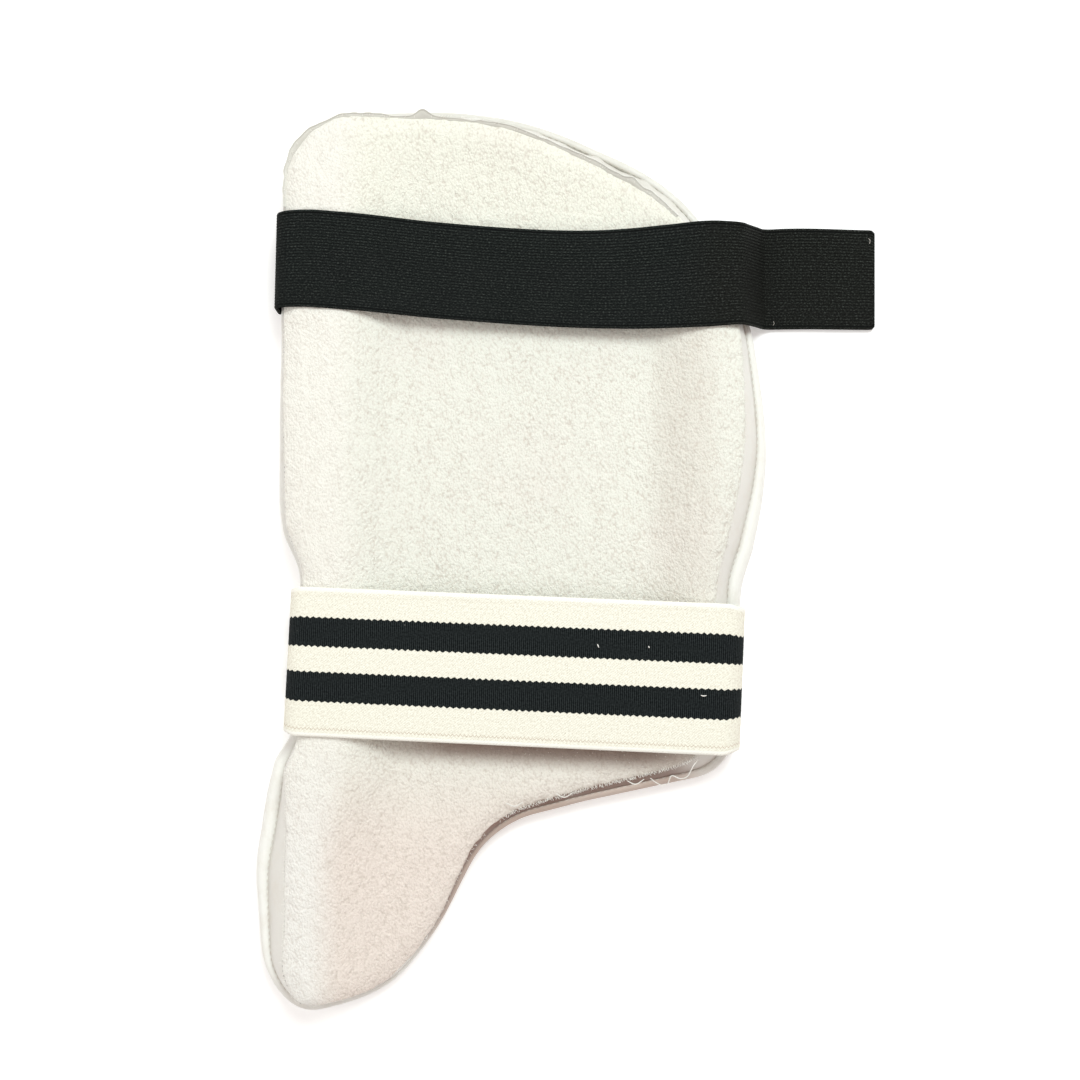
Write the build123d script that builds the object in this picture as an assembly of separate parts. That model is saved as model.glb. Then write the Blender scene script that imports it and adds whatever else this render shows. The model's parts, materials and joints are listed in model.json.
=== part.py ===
"""Cricket thigh pad: a padded, towelling-lined guard with two elastic straps.

The pad lies on its front (struck) face with the leg side up.
  +Z  up, out of the leg side
  +Y  towards the rounded end
  +X  towards the side where the black strap's free end lies
The origin is on the flat crown of the middle rib, in the plane that the pad rests on.
All sizes are in millimetres.
"""

from build123d import *
import math
import os

# ---------------------------------------------------------------- pad sizes
PAD_LENGTH = 435.0  # along Y; CORNERS are shares of half of it
PAD_WIDTH = 245.0  # along X; CORNERS are shares of half of it
SEAM_HEIGHT = 9.0  # piping seam above the resting plane
RIM_HEIGHT = 28.0  # top of the raised side rims
TROUGH_HEIGHT = 18.0  # leg side between the rims
RIM_WIDTH_LEFT = 44.0  # outer edge to the rim's inner brow
RIM_WIDTH_RIGHT = 31.0
TROUGH_SLOPE = 28.0  # run of the slope from brow to trough
WALL_LEAN = 7.0  # how far the side wall leans in from seam to rim
SEAM_INSET = 4.0  # piping stands this far outside the seam

SKIN = 1.2  # coated leathercloth of cover and side wall
LINING = 3.0  # towelling with its backing
PIPING_RADIUS = 2.5
PIPING_CORE_RADIUS = 1.4

RIB_COUNT = 5
RIB_GROOVE_DEPTH = 3.0
RIB_GROOVE_FLOOR = 2.0  # width of the sewn line between two ribs
RIB_GAP = 2.0  # free space between neighbouring foam ribs
RIB_TOP = 8.0  # plane that the foam ribs end on
SHIELD = 5.0  # high-density sheet over the ribs
FRONT_RISE = 7.0  # how far the front face rises at its edges
SIDE_BEVEL = 53.5  # width of that rise at the two sides, outside the ribs' outer grooves
END_BEVEL = 35.0  # length of that rise at the two ends

# ------------------------------------------------------------- strap sizes
STRAP = 1.5  # thickness of both elastics
HOOK = 1.2  # thickness of a hook or loop patch
CLEAR = 0.3  # room round a strap that lies against the pad
FLOOR_GAP = 0.2  # straps stay this far above the resting plane
PATCH_MARGIN = 3.0  # strap edge to patch edge

BLACK_WIDTH = 47.0
BLACK_Y = 136.0  # centre line over most of its length
BLACK_LIFT = 6.0  # centre line at the left edge, above BLACK_Y
BLACK_SAG = 5.0  # how far the strap hangs into the trough
BLACK_ANCHOR = 22.0  # sewn length on the front face
BLACK_SLACK = 1.0  # how far the loose strap stands off the pad's left edge
BLACK_SWING = 14.0  # from the pad's left edge in to the band's fold line
BLACK_LIFT_FOLD = 9.0  # from the pad's right edge in to the drop's fold line
BLACK_CREST = 5.0  # from that fold line to the top of the drop
BLACK_DROP_RUN = 9.0  # horizontal run of the drop beside the pad
BLACK_FOOT = 6.0  # from the drop's foot to the tab's fold line
BLACK_TAB = 47.0  # free tab that carries the hooks
BLACK_LOOPS = 26.0  # length of the loop patch on the front
BLACK_SWAY = (150.0, 250.0)  # plan radii of its two gentle curves

STRIPED_WIDTH = 70.0
STRIPED_Y = -53.0
STRIPED_TURN = -2.2  # degrees, seen from above
STRIPED_ANCHOR = 26.0
STRIPED_TAB = 62.0
STRIPED_TAB_GAP = 4.0  # from the sewn end to the closed tab
STRIPED_FOLD = 5.0  # from the pad's right edge in to the front run's fold line

HINGE_GAP = 2.5  # free length of cloth between two moving strap pieces
HINGE_PROUD = 0.3  # fold line outside the strap's face
DROP_HINGE_GAP = 3.0  # this fold line works both ways
SEWN_INSET = 5.0  # from the pad's left edge in to a strap's sewing
BEND_OVER = 5.0  # middle-line radius of a strap over a rim
BEND_UNDER = 2.5  # and under the piping
BEND_SOFT = 20.0  # and where a strap meets the flat of the front
BEND_SAG = 60.0  # and where the loose strap dips into the trough
BEND_DROP = 4.0  # and at the top and the foot of the drop

# ------------------------------------------------------------------ outline
# Corners of the pad's outer edge as (share of half width, share of half length,
# corner radius), anticlockwise from the rounded end's left corner, seen from above.
CORNERS = [
    (-0.915, 1.001, 39),
    (-0.936, 0.112, 78),
    (-0.878, -0.092, 55),
    (-0.930, -0.398, 142),
    (-1.035, -0.688, 85),
    (-0.998, -0.941, 42),
    (-0.845, -1.029, 18),
    (-0.492, -0.973, 62),
    (-0.294, -0.832, 138),
    (-0.090, -0.598, 67),
    (0.293, -0.541, 22),
    (0.865, -0.469, 22),
    (0.910, -0.099, 190),
    (1.020, 0.214, 158),
    (0.934, 0.565, 134),
    (0.683, 0.816, 108),
    (-0.004, 0.996, 164),
]
EDGE_SHARE = 0.485  # most of an edge that one corner's arc may use

LEFT = -PAD_WIDTH / 2
RIGHT = PAD_WIDTH / 2
FAR = PAD_WIDTH + PAD_LENGTH  # larger than the pad in every direction
BESIDE = RIGHT + 25.0  # beside the pad, where the rising front is still below the rim


def turn_at(before, here, after):
    """Signed turn in radians of a path at one of its points."""
    first = math.atan2(here[1] - before[1], here[0] - before[0])
    second = math.atan2(after[1] - here[1], after[0] - here[0])
    return (second - first + math.pi) % (2 * math.pi) - math.pi


def fitted_corners():
    """The outline's corners in millimetres, with each arc kept inside its edges."""
    places = [(x * PAD_WIDTH / 2, y * PAD_LENGTH / 2) for x, y, _ in CORNERS]
    corners = []
    for i, (x, y) in enumerate(places):
        before, after = places[i - 1], places[(i + 1) % len(places)]
        shorter = min(math.dist(before, (x, y)), math.dist((x, y), after))
        half_turn = abs(turn_at(before, (x, y), after)) / 2
        limit = EDGE_SHARE * shorter / math.tan(half_turn)
        corners.append((x, y, min(CORNERS[i][2], limit)))
    return corners


def shifted(corners, distance, closed):
    """Corners of a path moved sideways to its left, with arcs that stay concentric."""
    moved = []
    last = len(corners) - 1
    for i, (x, y, radius) in enumerate(corners):
        before = corners[i - 1] if closed or i > 0 else None
        after = corners[(i + 1) % len(corners)] if closed or i < last else None
        if before is None or after is None:
            start, end = ((x, y), after) if before is None else (before, (x, y))
            angle = math.atan2(end[1] - start[1], end[0] - start[0])
            moved.append(
                (x - distance * math.sin(angle), y + distance * math.cos(angle), 0)
            )
            continue
        turn = turn_at(before, (x, y), after)
        middle = math.atan2(y - before[1], x - before[0]) + turn / 2
        reach = distance / math.cos(turn / 2)
        side = 1 if turn > 0 else -1
        moved.append(
            (
                x - reach * math.sin(middle),
                y + reach * math.cos(middle),
                radius - side * distance,
            )
        )
    return moved


def outline(inset):
    """Closed wire of the pad's outline, moved inwards, on the plane z = 0."""
    corners = shifted(fitted_corners(), inset, closed=True)
    path = FilletPolyline(
        *[(x, y) for x, y, _ in corners],
        radius=[radius for _, _, radius in corners],
        close=True,
    )
    return Wire(path.edges())


def layer(inset, bottom, top):
    """Straight-sided plate with the pad's outline."""
    plate = Solid.extrude(Face(outline(inset)), Vector(0, 0, top - bottom))
    return plate.moved(Location((0, 0, bottom)))


def leaning_body(inset):
    """Everything inside the side wall, which leans in above the seam."""
    lean = WALL_LEAN * (RIM_HEIGHT - SEAM_HEIGHT + SKIN) / (RIM_HEIGHT - SEAM_HEIGHT)
    low = outline(SEAM_INSET + inset).moved(Location((0, 0, SEAM_HEIGHT)))
    high = outline(SEAM_INSET + inset + lean).moved(
        Location((0, 0, RIM_HEIGHT + SKIN))
    )
    upper = Solid.make_loft([low, high], ruled=True)
    return upper + layer(SEAM_INSET + inset, 0, SEAM_HEIGHT)


def leg_side(drop):
    """Points (x, z) of the leg side from right to left, lowered by drop."""
    rim, trough = RIM_HEIGHT - drop, TROUGH_HEIGHT - drop
    return [
        (BESIDE, rim),
        (RIGHT - RIM_WIDTH_RIGHT, rim),
        (RIGHT - RIM_WIDTH_RIGHT - TROUGH_SLOPE, trough),
        (LEFT + RIM_WIDTH_LEFT + TROUGH_SLOPE, trough),
        (LEFT + RIM_WIDTH_LEFT, rim),
        (-BESIDE, rim),
    ]


def groove_places():
    """X of each sewn line between two ribs; the outer two edge the flat front."""
    flat = RIGHT - SIDE_BEVEL
    pitch = 2 * flat / (RIB_COUNT - 2)
    return [i * pitch - flat for i in range(RIB_COUNT - 1)]


def front_height(x):
    """Height of the smooth front face at x, leaving out the sewn grooves."""
    return max(0, abs(x) - RIGHT + SIDE_BEVEL) * FRONT_RISE / SIDE_BEVEL


def front_side(rise):
    """Points (x, z) of the ribbed front from left to right, raised by rise."""
    floor = RIB_GROOVE_FLOOR / 2
    mouth = floor + RIB_GROOVE_DEPTH
    places = [-BESIDE]
    for x in groove_places():
        places += [x - mouth, x - floor, x + floor, x + mouth]
    places.append(BESIDE)
    points = []
    for i, x in enumerate(places):
        sewn = i % 4 in (2, 3) and 0 < i < len(places) - 1
        points.append((x, rise + (RIB_GROOVE_DEPTH if sewn else front_height(x))))
    return points


def across(points):
    """Extrudes a closed outline in X and Z along the whole length of the pad."""
    face = Face(Wire.make_polygon([(x, 0, z) for x, z in points], close=True))
    return Solid.extrude(face, Vector(0, 2 * FAR, 0)).moved(Location((0, -FAR, 0)))


def along(rise):
    """The room between the two raised ends of the front face, as a long prism."""
    flat = PAD_LENGTH / 2 - END_BEVEL
    steep = FRONT_RISE / END_BEVEL
    points = [
        (-FAR, (FAR - flat) * steep + rise),
        (-flat, rise),
        (flat, rise),
        (FAR, (FAR - flat) * steep + rise),
        (FAR, FAR),
        (-FAR, FAR),
    ]
    face = Face(Wire.make_polygon([(0, y, z) for y, z in points], close=True))
    return Solid.extrude(face, Vector(2 * FAR, 0, 0)).moved(Location((-FAR, 0, 0)))


def striped_frame():
    """Where the striped strap's own X and Y axes lie."""
    return Location((0, STRIPED_Y, 0), (0, 0, STRIPED_TURN))


DENT_DEPTH = FLOOR_GAP + STRAP + 2 * HOOK + CLEAR  # the tight strap sinks in this far


def strap_dent(rise):
    """The hollow that the tight striped strap presses into the front face."""
    width = STRIPED_WIDTH + 2 * CLEAR + 2 * rise
    box = Box(2 * FAR, width, 2 * (DENT_DEPTH + rise))
    return striped_frame() * box


def pad_body(inset, drop, rise):
    """The pad's whole shape, shrunk at the sides, the leg side and the front."""
    section = across(front_side(rise) + leg_side(drop))
    return (leaning_body(inset) & section & along(rise)) - strap_dent(rise)


def slab(bottom, top):
    """Everything between two levels."""
    return Box(2 * FAR, 2 * FAR, top - bottom).moved(
        Location((0, 0, (bottom + top) / 2))
    )


# --------------------------------------------------------------------- pad
def skins():
    """Front cover and side wall, which meet at the piping seam."""
    shell = pad_body(0, 0, 0) - pad_body(SKIN, -RIM_HEIGHT, SKIN)
    return {
        "front_cover": shell & slab(-1, SEAM_HEIGHT),
        "side_wall": shell & slab(SEAM_HEIGHT, FAR),
    }


def lining():
    """Towelling panel on the leg side, inside the top of the side wall."""
    return pad_body(SKIN, 0, SKIN) - pad_body(0, LINING, 0)


def foams():
    """Soft leg-side foam, hard sheet and separate front ribs."""
    filling = pad_body(SKIN, LINING, SKIN)
    pieces = {
        "comfort_foam": filling & slab(RIB_TOP + SHIELD, FAR),
        "shield_foam": filling & slab(RIB_TOP, RIB_TOP + SHIELD),
    }
    low = filling & slab(0, RIB_TOP)
    edges = [-FAR, *groove_places(), FAR]
    for number in range(RIB_COUNT):
        left = edges[number] + RIB_GAP / 2
        right = edges[number + 1] - RIB_GAP / 2
        room = Box(right - left, 2 * FAR, 2 * FAR).moved(
            Location(((left + right) / 2, 0, 0))
        )
        pieces[f"rib_foam_{number + 1}"] = low & room
    return pieces


def piping():
    """Round edge trim: a cord in a leathercloth tube, against the seam."""
    path = outline(PIPING_RADIUS).moved(Location((0, 0, SEAM_HEIGHT)))
    start = Plane(origin=path @ 0, z_dir=path % 0)
    body = leaning_body(0)
    tube = sweep(start * Circle(PIPING_RADIUS), path=path)
    core = sweep(start * Circle(PIPING_CORE_RADIUS), path=path)
    return {
        "piping": tube - core - body,
        "piping_core": core - body,
    }


# ------------------------------------------------------------------ straps
def ribbon(corners, frame, width):
    """A strap with its middle line through (x, z, radius) corners, in frame."""
    upper = shifted(corners, STRAP / 2, closed=False)
    lower = shifted(corners, -STRAP / 2, closed=False)
    edges = []
    for side in (upper, lower):
        places = [(x, 0, z) for x, z, _ in side]
        if len(side) == 2:
            edges.append(Line(*places))
        else:
            radii = [radius for _, _, radius in side[1:-1]]
            with BuildLine(Plane.XZ) as line:
                FilletPolyline(*[(x, z) for x, z, _ in side], radius=radii)
            edges.append(line.line)
    first, second = edges
    ends = [
        Line((upper[0][0], 0, upper[0][1]), (lower[0][0], 0, lower[0][1])),
        Line((upper[-1][0], 0, upper[-1][1]), (lower[-1][0], 0, lower[-1][1])),
    ]
    loop = Wire([*first.edges(), *second.edges(), *ends])
    solid = Solid.extrude(Face(loop), Vector(0, width, 0))
    return frame * solid.moved(Location((0, -width / 2, 0)))


def pad_reach(frame, width):
    """Lowest and highest X, in frame, of the pad's edge behind a strap."""
    strip = frame * Rectangle(2 * FAR, width)
    seen = (Face(outline(0)) & strip).moved(frame.inverse())
    box = seen.bounding_box()
    return box.min.X, box.max.X


def patch(frame, x, y, z, length, width):
    """A flat hook or loop patch whose underside is at z."""
    box = Box(length, width, HOOK).moved(Location((x, y, z + HOOK / 2)))
    return frame * box


def sloped_patch(frame, x_from, x_to, width):
    """A loop patch on the rising edge of the front face."""
    points = [
        (x_from, front_height(x_from)),
        (x_to, front_height(x_to)),
        (x_to, front_height(x_to) - HOOK),
        (x_from, front_height(x_from) - HOOK),
    ]
    face = Face(Wire.make_polygon([(x, 0, z) for x, z in points], close=True))
    solid = Solid.extrude(face, Vector(0, width, 0))
    return frame * solid.moved(Location((0, -width / 2, 0)))


def striped_strap():
    """Tight strap: sewn at the left, round the pad and closed on the front."""
    frame = striped_frame()
    left, right = pad_reach(frame, STRIPED_WIDTH)
    half = STRAP / 2
    left_x, right_x = left - CLEAR - half, right + CLEAR + half
    top_z = RIM_HEIGHT + CLEAR + half
    low_z = FLOOR_GAP + half
    under_z = SEAM_HEIGHT - PIPING_RADIUS - 2 * CLEAR - STRAP - half
    hinge_x = right - STRIPED_FOLD
    start_x = left + SEWN_INSET + STRIPED_ANCHOR
    tab_end = start_x + STRIPED_TAB_GAP
    tab_start = tab_end + STRIPED_TAB
    run_end = tab_start + HINGE_GAP
    bend_x = groove_places()[-1] + RIB_GROOVE_FLOOR / 2 + RIB_GROOVE_DEPTH
    slope = (under_z - low_z) / (right_x - bend_x)

    def under(x):
        return low_z + (abs(x) - bend_x) * slope

    wrap = [
        (start_x, under(start_x), 0),
        (left_x, under(left_x), BEND_UNDER),
        (left_x, top_z, BEND_OVER),
        (right_x, top_z, BEND_OVER),
        (right_x, under(right_x), BEND_UNDER),
        (hinge_x + HINGE_GAP / 2, under(hinge_x + HINGE_GAP / 2), 0),
    ]
    run = [
        (hinge_x - HINGE_GAP / 2, under(hinge_x - HINGE_GAP / 2), 0),
        (bend_x, low_z, BEND_SOFT),
        (run_end, low_z, 0),
    ]
    tab = [(tab_start, low_z, 0), (tab_end, low_z, 0)]
    patch_length = STRIPED_TAB - 2 * PATCH_MARGIN
    patch_width = STRIPED_WIDTH - 2 * PATCH_MARGIN
    patch_x = (tab_start + tab_end) / 2
    hook_z = FLOOR_GAP + STRAP
    loop_z = DENT_DEPTH - HOOK
    folds = {
        "striped_front_swing": (hinge_x, under(hinge_x) - half - HINGE_PROUD),
        "striped_tab_peel": (run_end - HINGE_GAP / 2, low_z - half - HINGE_PROUD),
    }
    size = (patch_length, patch_width)
    return {
        "striped_strap": ribbon(wrap, frame, STRIPED_WIDTH),
        "striped_strap_front": ribbon(run, frame, STRIPED_WIDTH),
        "striped_strap_tab": ribbon(tab, frame, STRIPED_WIDTH),
        "striped_hook_patch": patch(frame, patch_x, 0, hook_z, *size),
        "striped_loop_patch": patch(frame, patch_x, 0, loop_z, *size),
    }, {name: frame * Location((x, 0, z)) for name, (x, z) in folds.items()}


def black_plan():
    """The black strap seen from above: straight, with its left part lifted."""
    corners = [
        (-FAR, BLACK_Y + BLACK_LIFT, 0),
        (LEFT + RIM_WIDTH_LEFT / 2, BLACK_Y + BLACK_LIFT, BLACK_SWAY[0]),
        (0, BLACK_Y, BLACK_SWAY[1]),
        (FAR, BLACK_Y, 0),
    ]
    upper = shifted(corners, BLACK_WIDTH / 2, closed=False)
    lower = shifted(corners, -BLACK_WIDTH / 2, closed=False)
    lines = []
    for side in (upper, lower):
        with BuildLine() as line:
            FilletPolyline(
                *[(x, y) for x, y, _ in side], radius=[r for _, _, r in side[1:-1]]
            )
        lines.append(line.line)
    ends = [Line(upper[i][:2], lower[i][:2]) for i in (0, -1)]
    loop = Wire([*lines[0].edges(), *lines[1].edges(), *ends])
    return Solid.extrude(Face(loop), Vector(0, 0, 2 * FAR)).moved(Location((0, 0, -FAR)))


def black_strap():
    """Loose strap: sewn at the left, across the leg side, free at the right."""
    frame = Location((0, BLACK_Y, 0))
    left, right = pad_reach(frame, BLACK_WIDTH + 2 * BLACK_LIFT)
    wide = BLACK_WIDTH + 4 * BLACK_LIFT
    half = STRAP / 2
    left_x = left - CLEAR - BLACK_SLACK - half
    top_z = RIM_HEIGHT + CLEAR + half
    sag_z = top_z - BLACK_SAG
    floor_z = FLOOR_GAP + HOOK + half
    swing_x = left + BLACK_SWING
    lift_x = right - BLACK_LIFT_FOLD
    crest_x = lift_x + BLACK_CREST
    foot_x = crest_x + BLACK_DROP_RUN
    fold_x = foot_x + BLACK_FOOT
    tab_start = fold_x + DROP_HINGE_GAP / 2
    tab_end = tab_start + BLACK_TAB
    start_x = left + SEWN_INSET + BLACK_ANCHOR
    brow_left = LEFT + RIM_WIDTH_LEFT
    brow_right = RIGHT - RIM_WIDTH_RIGHT
    edge_x = left + SEAM_INSET

    def under(x):
        return front_height(x) - CLEAR - half

    wrap = [
        (start_x, under(start_x), 0),
        (edge_x, under(edge_x), BEND_OVER),
        (left_x, under(edge_x) - CLEAR, BEND_UNDER),
        (left_x, top_z, BEND_OVER),
        (swing_x - HINGE_GAP / 2, top_z, 0),
    ]
    band = [
        (swing_x + HINGE_GAP / 2, top_z, 0),
        (brow_left, top_z, BEND_SAG),
        (brow_left + TROUGH_SLOPE, sag_z, BEND_SAG),
        (brow_right - TROUGH_SLOPE, sag_z, BEND_SAG),
        (brow_right, top_z, BEND_SAG),
        (lift_x - HINGE_GAP / 2, top_z, 0),
    ]
    drop = [
        (lift_x + HINGE_GAP / 2, top_z, 0),
        (crest_x, top_z, BEND_DROP),
        (foot_x, floor_z, BEND_DROP),
        (fold_x - DROP_HINGE_GAP / 2, floor_z, 0),
    ]
    tab = [(tab_start, floor_z, 0), (tab_end, floor_z, 0)]
    plan = black_plan()
    pieces = {
        "black_strap_anchor": wrap,
        "black_strap_band": band,
        "black_strap_drop": drop,
        "black_strap_tab": tab,
    }
    made = {name: ribbon(path, frame, wide) & plan for name, path in pieces.items()}
    patch_width = BLACK_WIDTH - 2 * PATCH_MARGIN
    hook_length = BLACK_TAB - 2 * PATCH_MARGIN
    made["black_hook_patch"] = patch(
        frame, (tab_start + tab_end) / 2, 0, FLOOR_GAP, hook_length, patch_width
    )
    loops_x = RIGHT - SIDE_BEVEL + (HOOK + FLOOR_GAP) * SIDE_BEVEL / FRONT_RISE
    loops = sloped_patch(frame, loops_x, loops_x + BLACK_LOOPS, patch_width)
    made["black_loop_patch"] = loops & layer(SEAM_INSET + PATCH_MARGIN, -FAR, FAR)
    folds = {
        "black_band_swing": (swing_x, top_z + half + HINGE_PROUD),
        "black_end_lift": (lift_x, top_z + half + HINGE_PROUD),
        "black_tab_fold": (fold_x, floor_z - half - HINGE_PROUD),
    }
    return made, {name: frame * Location((x, 0, z)) for name, (x, z) in folds.items()}


def main():
    striped, striped_folds = striped_strap()
    black, black_folds = black_strap()
    pieces = {**skins(), "lining": lining(), **foams(), **piping(), **striped, **black}
    os.makedirs("parts", exist_ok=True)
    for name, shape in pieces.items():
        shape.label = name
        export_step(shape, f"parts/{name}.step")
    for name, place in {**striped_folds, **black_folds}.items():
        print(name, "axis through", [round(v, 3) for v in place.position])


main()
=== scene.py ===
"""Looks of a cricket thigh pad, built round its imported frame.

Metres. The pad lies on its ribbed front with the towelling leg side up (+Z); +Y is the
rounded end and +X the side where the black strap's free end lies.
"""

import json
import math

import bpy
import numpy as np
from mathutils import Matrix, Vector, geometry

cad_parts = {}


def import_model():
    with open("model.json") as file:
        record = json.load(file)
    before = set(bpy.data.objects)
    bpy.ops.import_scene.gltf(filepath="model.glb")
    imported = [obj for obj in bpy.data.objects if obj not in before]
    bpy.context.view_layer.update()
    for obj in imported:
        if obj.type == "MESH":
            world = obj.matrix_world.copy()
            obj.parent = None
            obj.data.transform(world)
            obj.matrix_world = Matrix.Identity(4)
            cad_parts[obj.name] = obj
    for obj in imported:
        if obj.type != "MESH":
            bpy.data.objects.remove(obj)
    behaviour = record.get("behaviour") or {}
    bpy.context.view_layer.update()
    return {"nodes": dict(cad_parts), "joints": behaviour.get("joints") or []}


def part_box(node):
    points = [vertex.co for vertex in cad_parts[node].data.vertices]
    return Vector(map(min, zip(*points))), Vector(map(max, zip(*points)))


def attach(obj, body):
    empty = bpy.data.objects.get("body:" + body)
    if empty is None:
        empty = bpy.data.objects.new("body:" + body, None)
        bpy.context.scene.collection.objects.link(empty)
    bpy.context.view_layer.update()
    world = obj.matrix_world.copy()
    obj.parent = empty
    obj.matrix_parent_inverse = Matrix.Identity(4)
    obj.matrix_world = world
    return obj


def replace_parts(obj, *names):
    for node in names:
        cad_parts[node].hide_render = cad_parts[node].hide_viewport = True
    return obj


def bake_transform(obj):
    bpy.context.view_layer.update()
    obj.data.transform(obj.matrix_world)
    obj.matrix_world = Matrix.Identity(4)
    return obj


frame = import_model()
MM = 0.001


# ------------------------------------------------------------------ numbers
def smooth(t):
    """Eased step: 0 below 0, 1 above 1."""
    t = np.clip(t, 0, 1)
    return t * t * (3 - 2 * t)


def lattice(cells, seed):
    """A fixed pseudo-random number in -1..1 for each whole-number cell."""
    h = np.full(cells.shape[:-1], (seed * 2654435761) % 4294967296, np.uint64)
    for axis, prime in enumerate((73856093, 19349663, 83492791)):
        h ^= (cells[..., axis].astype(np.int64) * prime).astype(np.uint64) & 0xFFFFFFFF
        h = (h * 0x9E3779B1) & 0xFFFFFFFF
        h ^= h >> np.uint64(15)
    return h.astype(float) / 2147483648.0 - 1.0


def lumps(points, size, seed=0):
    """Smooth noise in -1..1 with lumps about size across."""
    p = np.asarray(points, float) / size
    base = np.floor(p).astype(np.int64)
    f = p - base
    f = f * f * (3 - 2 * f)
    total = np.zeros(len(p))
    for corner in range(8):
        offset = np.array([corner & 1, corner >> 1 & 1, corner >> 2 & 1])
        share = np.prod(np.where(offset, f, 1 - f), axis=1)
        total += share * lattice(base + offset, seed)
    return total


def between(x, knots):
    """Smooth curve through (x, value) knots."""
    xs, ys = (np.array(k, float) for k in zip(*knots))
    i = np.clip(np.searchsorted(xs, x) - 1, 0, len(xs) - 2)
    t = np.clip((x - xs[i]) / (xs[i + 1] - xs[i]), 0, 1)
    slope = np.gradient(ys, xs)
    h = xs[i + 1] - xs[i]
    a, b = ys[i], ys[i + 1]
    return (
        (1 + 2 * t) * (1 - t) ** 2 * a
        + t * (1 - t) ** 2 * h * slope[i]
        + t * t * (3 - 2 * t) * b
        + t * t * (t - 1) * h * slope[i + 1]
    )


# ------------------------------------------------------------------- meshes
def piece(name, points, faces, material, body=None, slot=None, soft=True):
    """A new mesh object. body is the CAD body that it rides on."""
    mesh = bpy.data.meshes.new(name)
    mesh.from_pydata([tuple(p) for p in points], [], [tuple(f) for f in faces])
    mesh.validate()
    mesh.shade_smooth() if soft else mesh.shade_flat()
    obj = bpy.data.objects.new(name, mesh)
    bpy.context.scene.collection.objects.link(obj)
    mesh.materials.append(material)
    if body:
        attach(obj, body)
    return obj


def with_modifiers(obj, material):
    """Applies an object's modifiers by giving it the finished mesh."""
    graph = bpy.context.evaluated_depsgraph_get()
    mesh = bpy.data.meshes.new_from_object(obj.evaluated_get(graph))
    obj.modifiers.clear()
    obj.data = mesh
    mesh.materials.clear()
    mesh.materials.append(material)
    mesh.shade_smooth()
    return obj


def places(mesh):
    co = np.empty(len(mesh.vertices) * 3)
    mesh.vertices.foreach_get("co", co)
    return co.reshape(-1, 3)


def set_places(mesh, points):
    mesh.vertices.foreach_set("co", np.asarray(points, np.float32).ravel())
    mesh.update()


def facings(mesh):
    n = np.empty(len(mesh.vertices) * 3, np.float32)
    mesh.vertex_normals.foreach_get("vector", n)
    return n.reshape(-1, 3).astype(float)


def loft(rings, closed_round=True, closed_along=False):
    """Quads between rings of equal length: (rings, points, 3) -> points, faces."""
    rings = np.asarray(rings)
    count, size = rings.shape[:2]
    faces = []
    for i in range(count if closed_along else count - 1):
        j = (i + 1) % count
        for k in range(size if closed_round else size - 1):
            m = (k + 1) % size
            faces.append((i * size + k, i * size + m, j * size + m, j * size + k))
    return rings.reshape(-1, 3), faces


def capped(points, faces, size):
    """Closes the two ends of a loft whose rings have size points."""
    count = len(points)
    ends = [tuple(range(count + size - 1, count - 1, -1))]
    ends.append(tuple(range(count + size, count + 2 * size)))
    return np.vstack([points, points[:size], points[-size:]]), faces + ends


def tube(path, radius, sides=6, taper=1.0):
    """A thread along path, thinner at its ends by taper."""
    path = np.asarray(path, float)
    along = np.gradient(path, axis=0)
    along /= np.linalg.norm(along, axis=1)[:, None] + 1e-12
    up = np.where(np.abs(along[:, 2:3]) < 0.9, [[0, 0, 1.0]], [[1.0, 0, 0]])
    side = np.cross(along, up)
    side /= np.linalg.norm(side, axis=1)[:, None] + 1e-12
    up = np.cross(side, along)
    t = np.linspace(-1, 1, len(path))
    r = radius * (1 - (1 - taper) * np.abs(t) ** 3)
    rings = []
    for k in range(sides):
        a = 2 * math.pi * k / sides
        rings.append(path + (side * math.cos(a) + up * math.sin(a)) * r[:, None])
    points, faces = loft(np.stack(rings, axis=1))
    return capped(points, faces, sides)


def joined(parts):
    """Several (points, faces) as one."""
    points, faces, start = [], [], 0
    for p, f in parts:
        points.append(np.asarray(p))
        faces += [tuple(v + start for v in face) for face in f]
        start += len(p)
    return np.concatenate(points), faces


def stitches(route, pitch, length, radius, lift):
    """Separate stitches along a route of points; lift is the way out of the cloth."""
    route = np.asarray(route, float)
    lift = np.broadcast_to(np.asarray(lift, float), route.shape)
    steps = np.linalg.norm(np.diff(route, axis=0), axis=1)
    run = np.concatenate([[0], np.cumsum(steps)])
    parts = []
    for s in np.arange(pitch / 2, run[-1], pitch):
        t = np.linspace(-1, 1, 5)
        at = s + t * length / 2
        way = [np.interp(at, run, route[:, k]) for k in range(3)]
        out = np.array([np.interp(s, run, lift[:, k]) for k in range(3)])
        bow = (1 - t * t)[:, None] * radius * 0.9 - radius * 0.5
        parts.append(tube(np.stack(way, axis=1) + out * bow, radius, 5, 0.5))
    return joined(parts)


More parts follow.
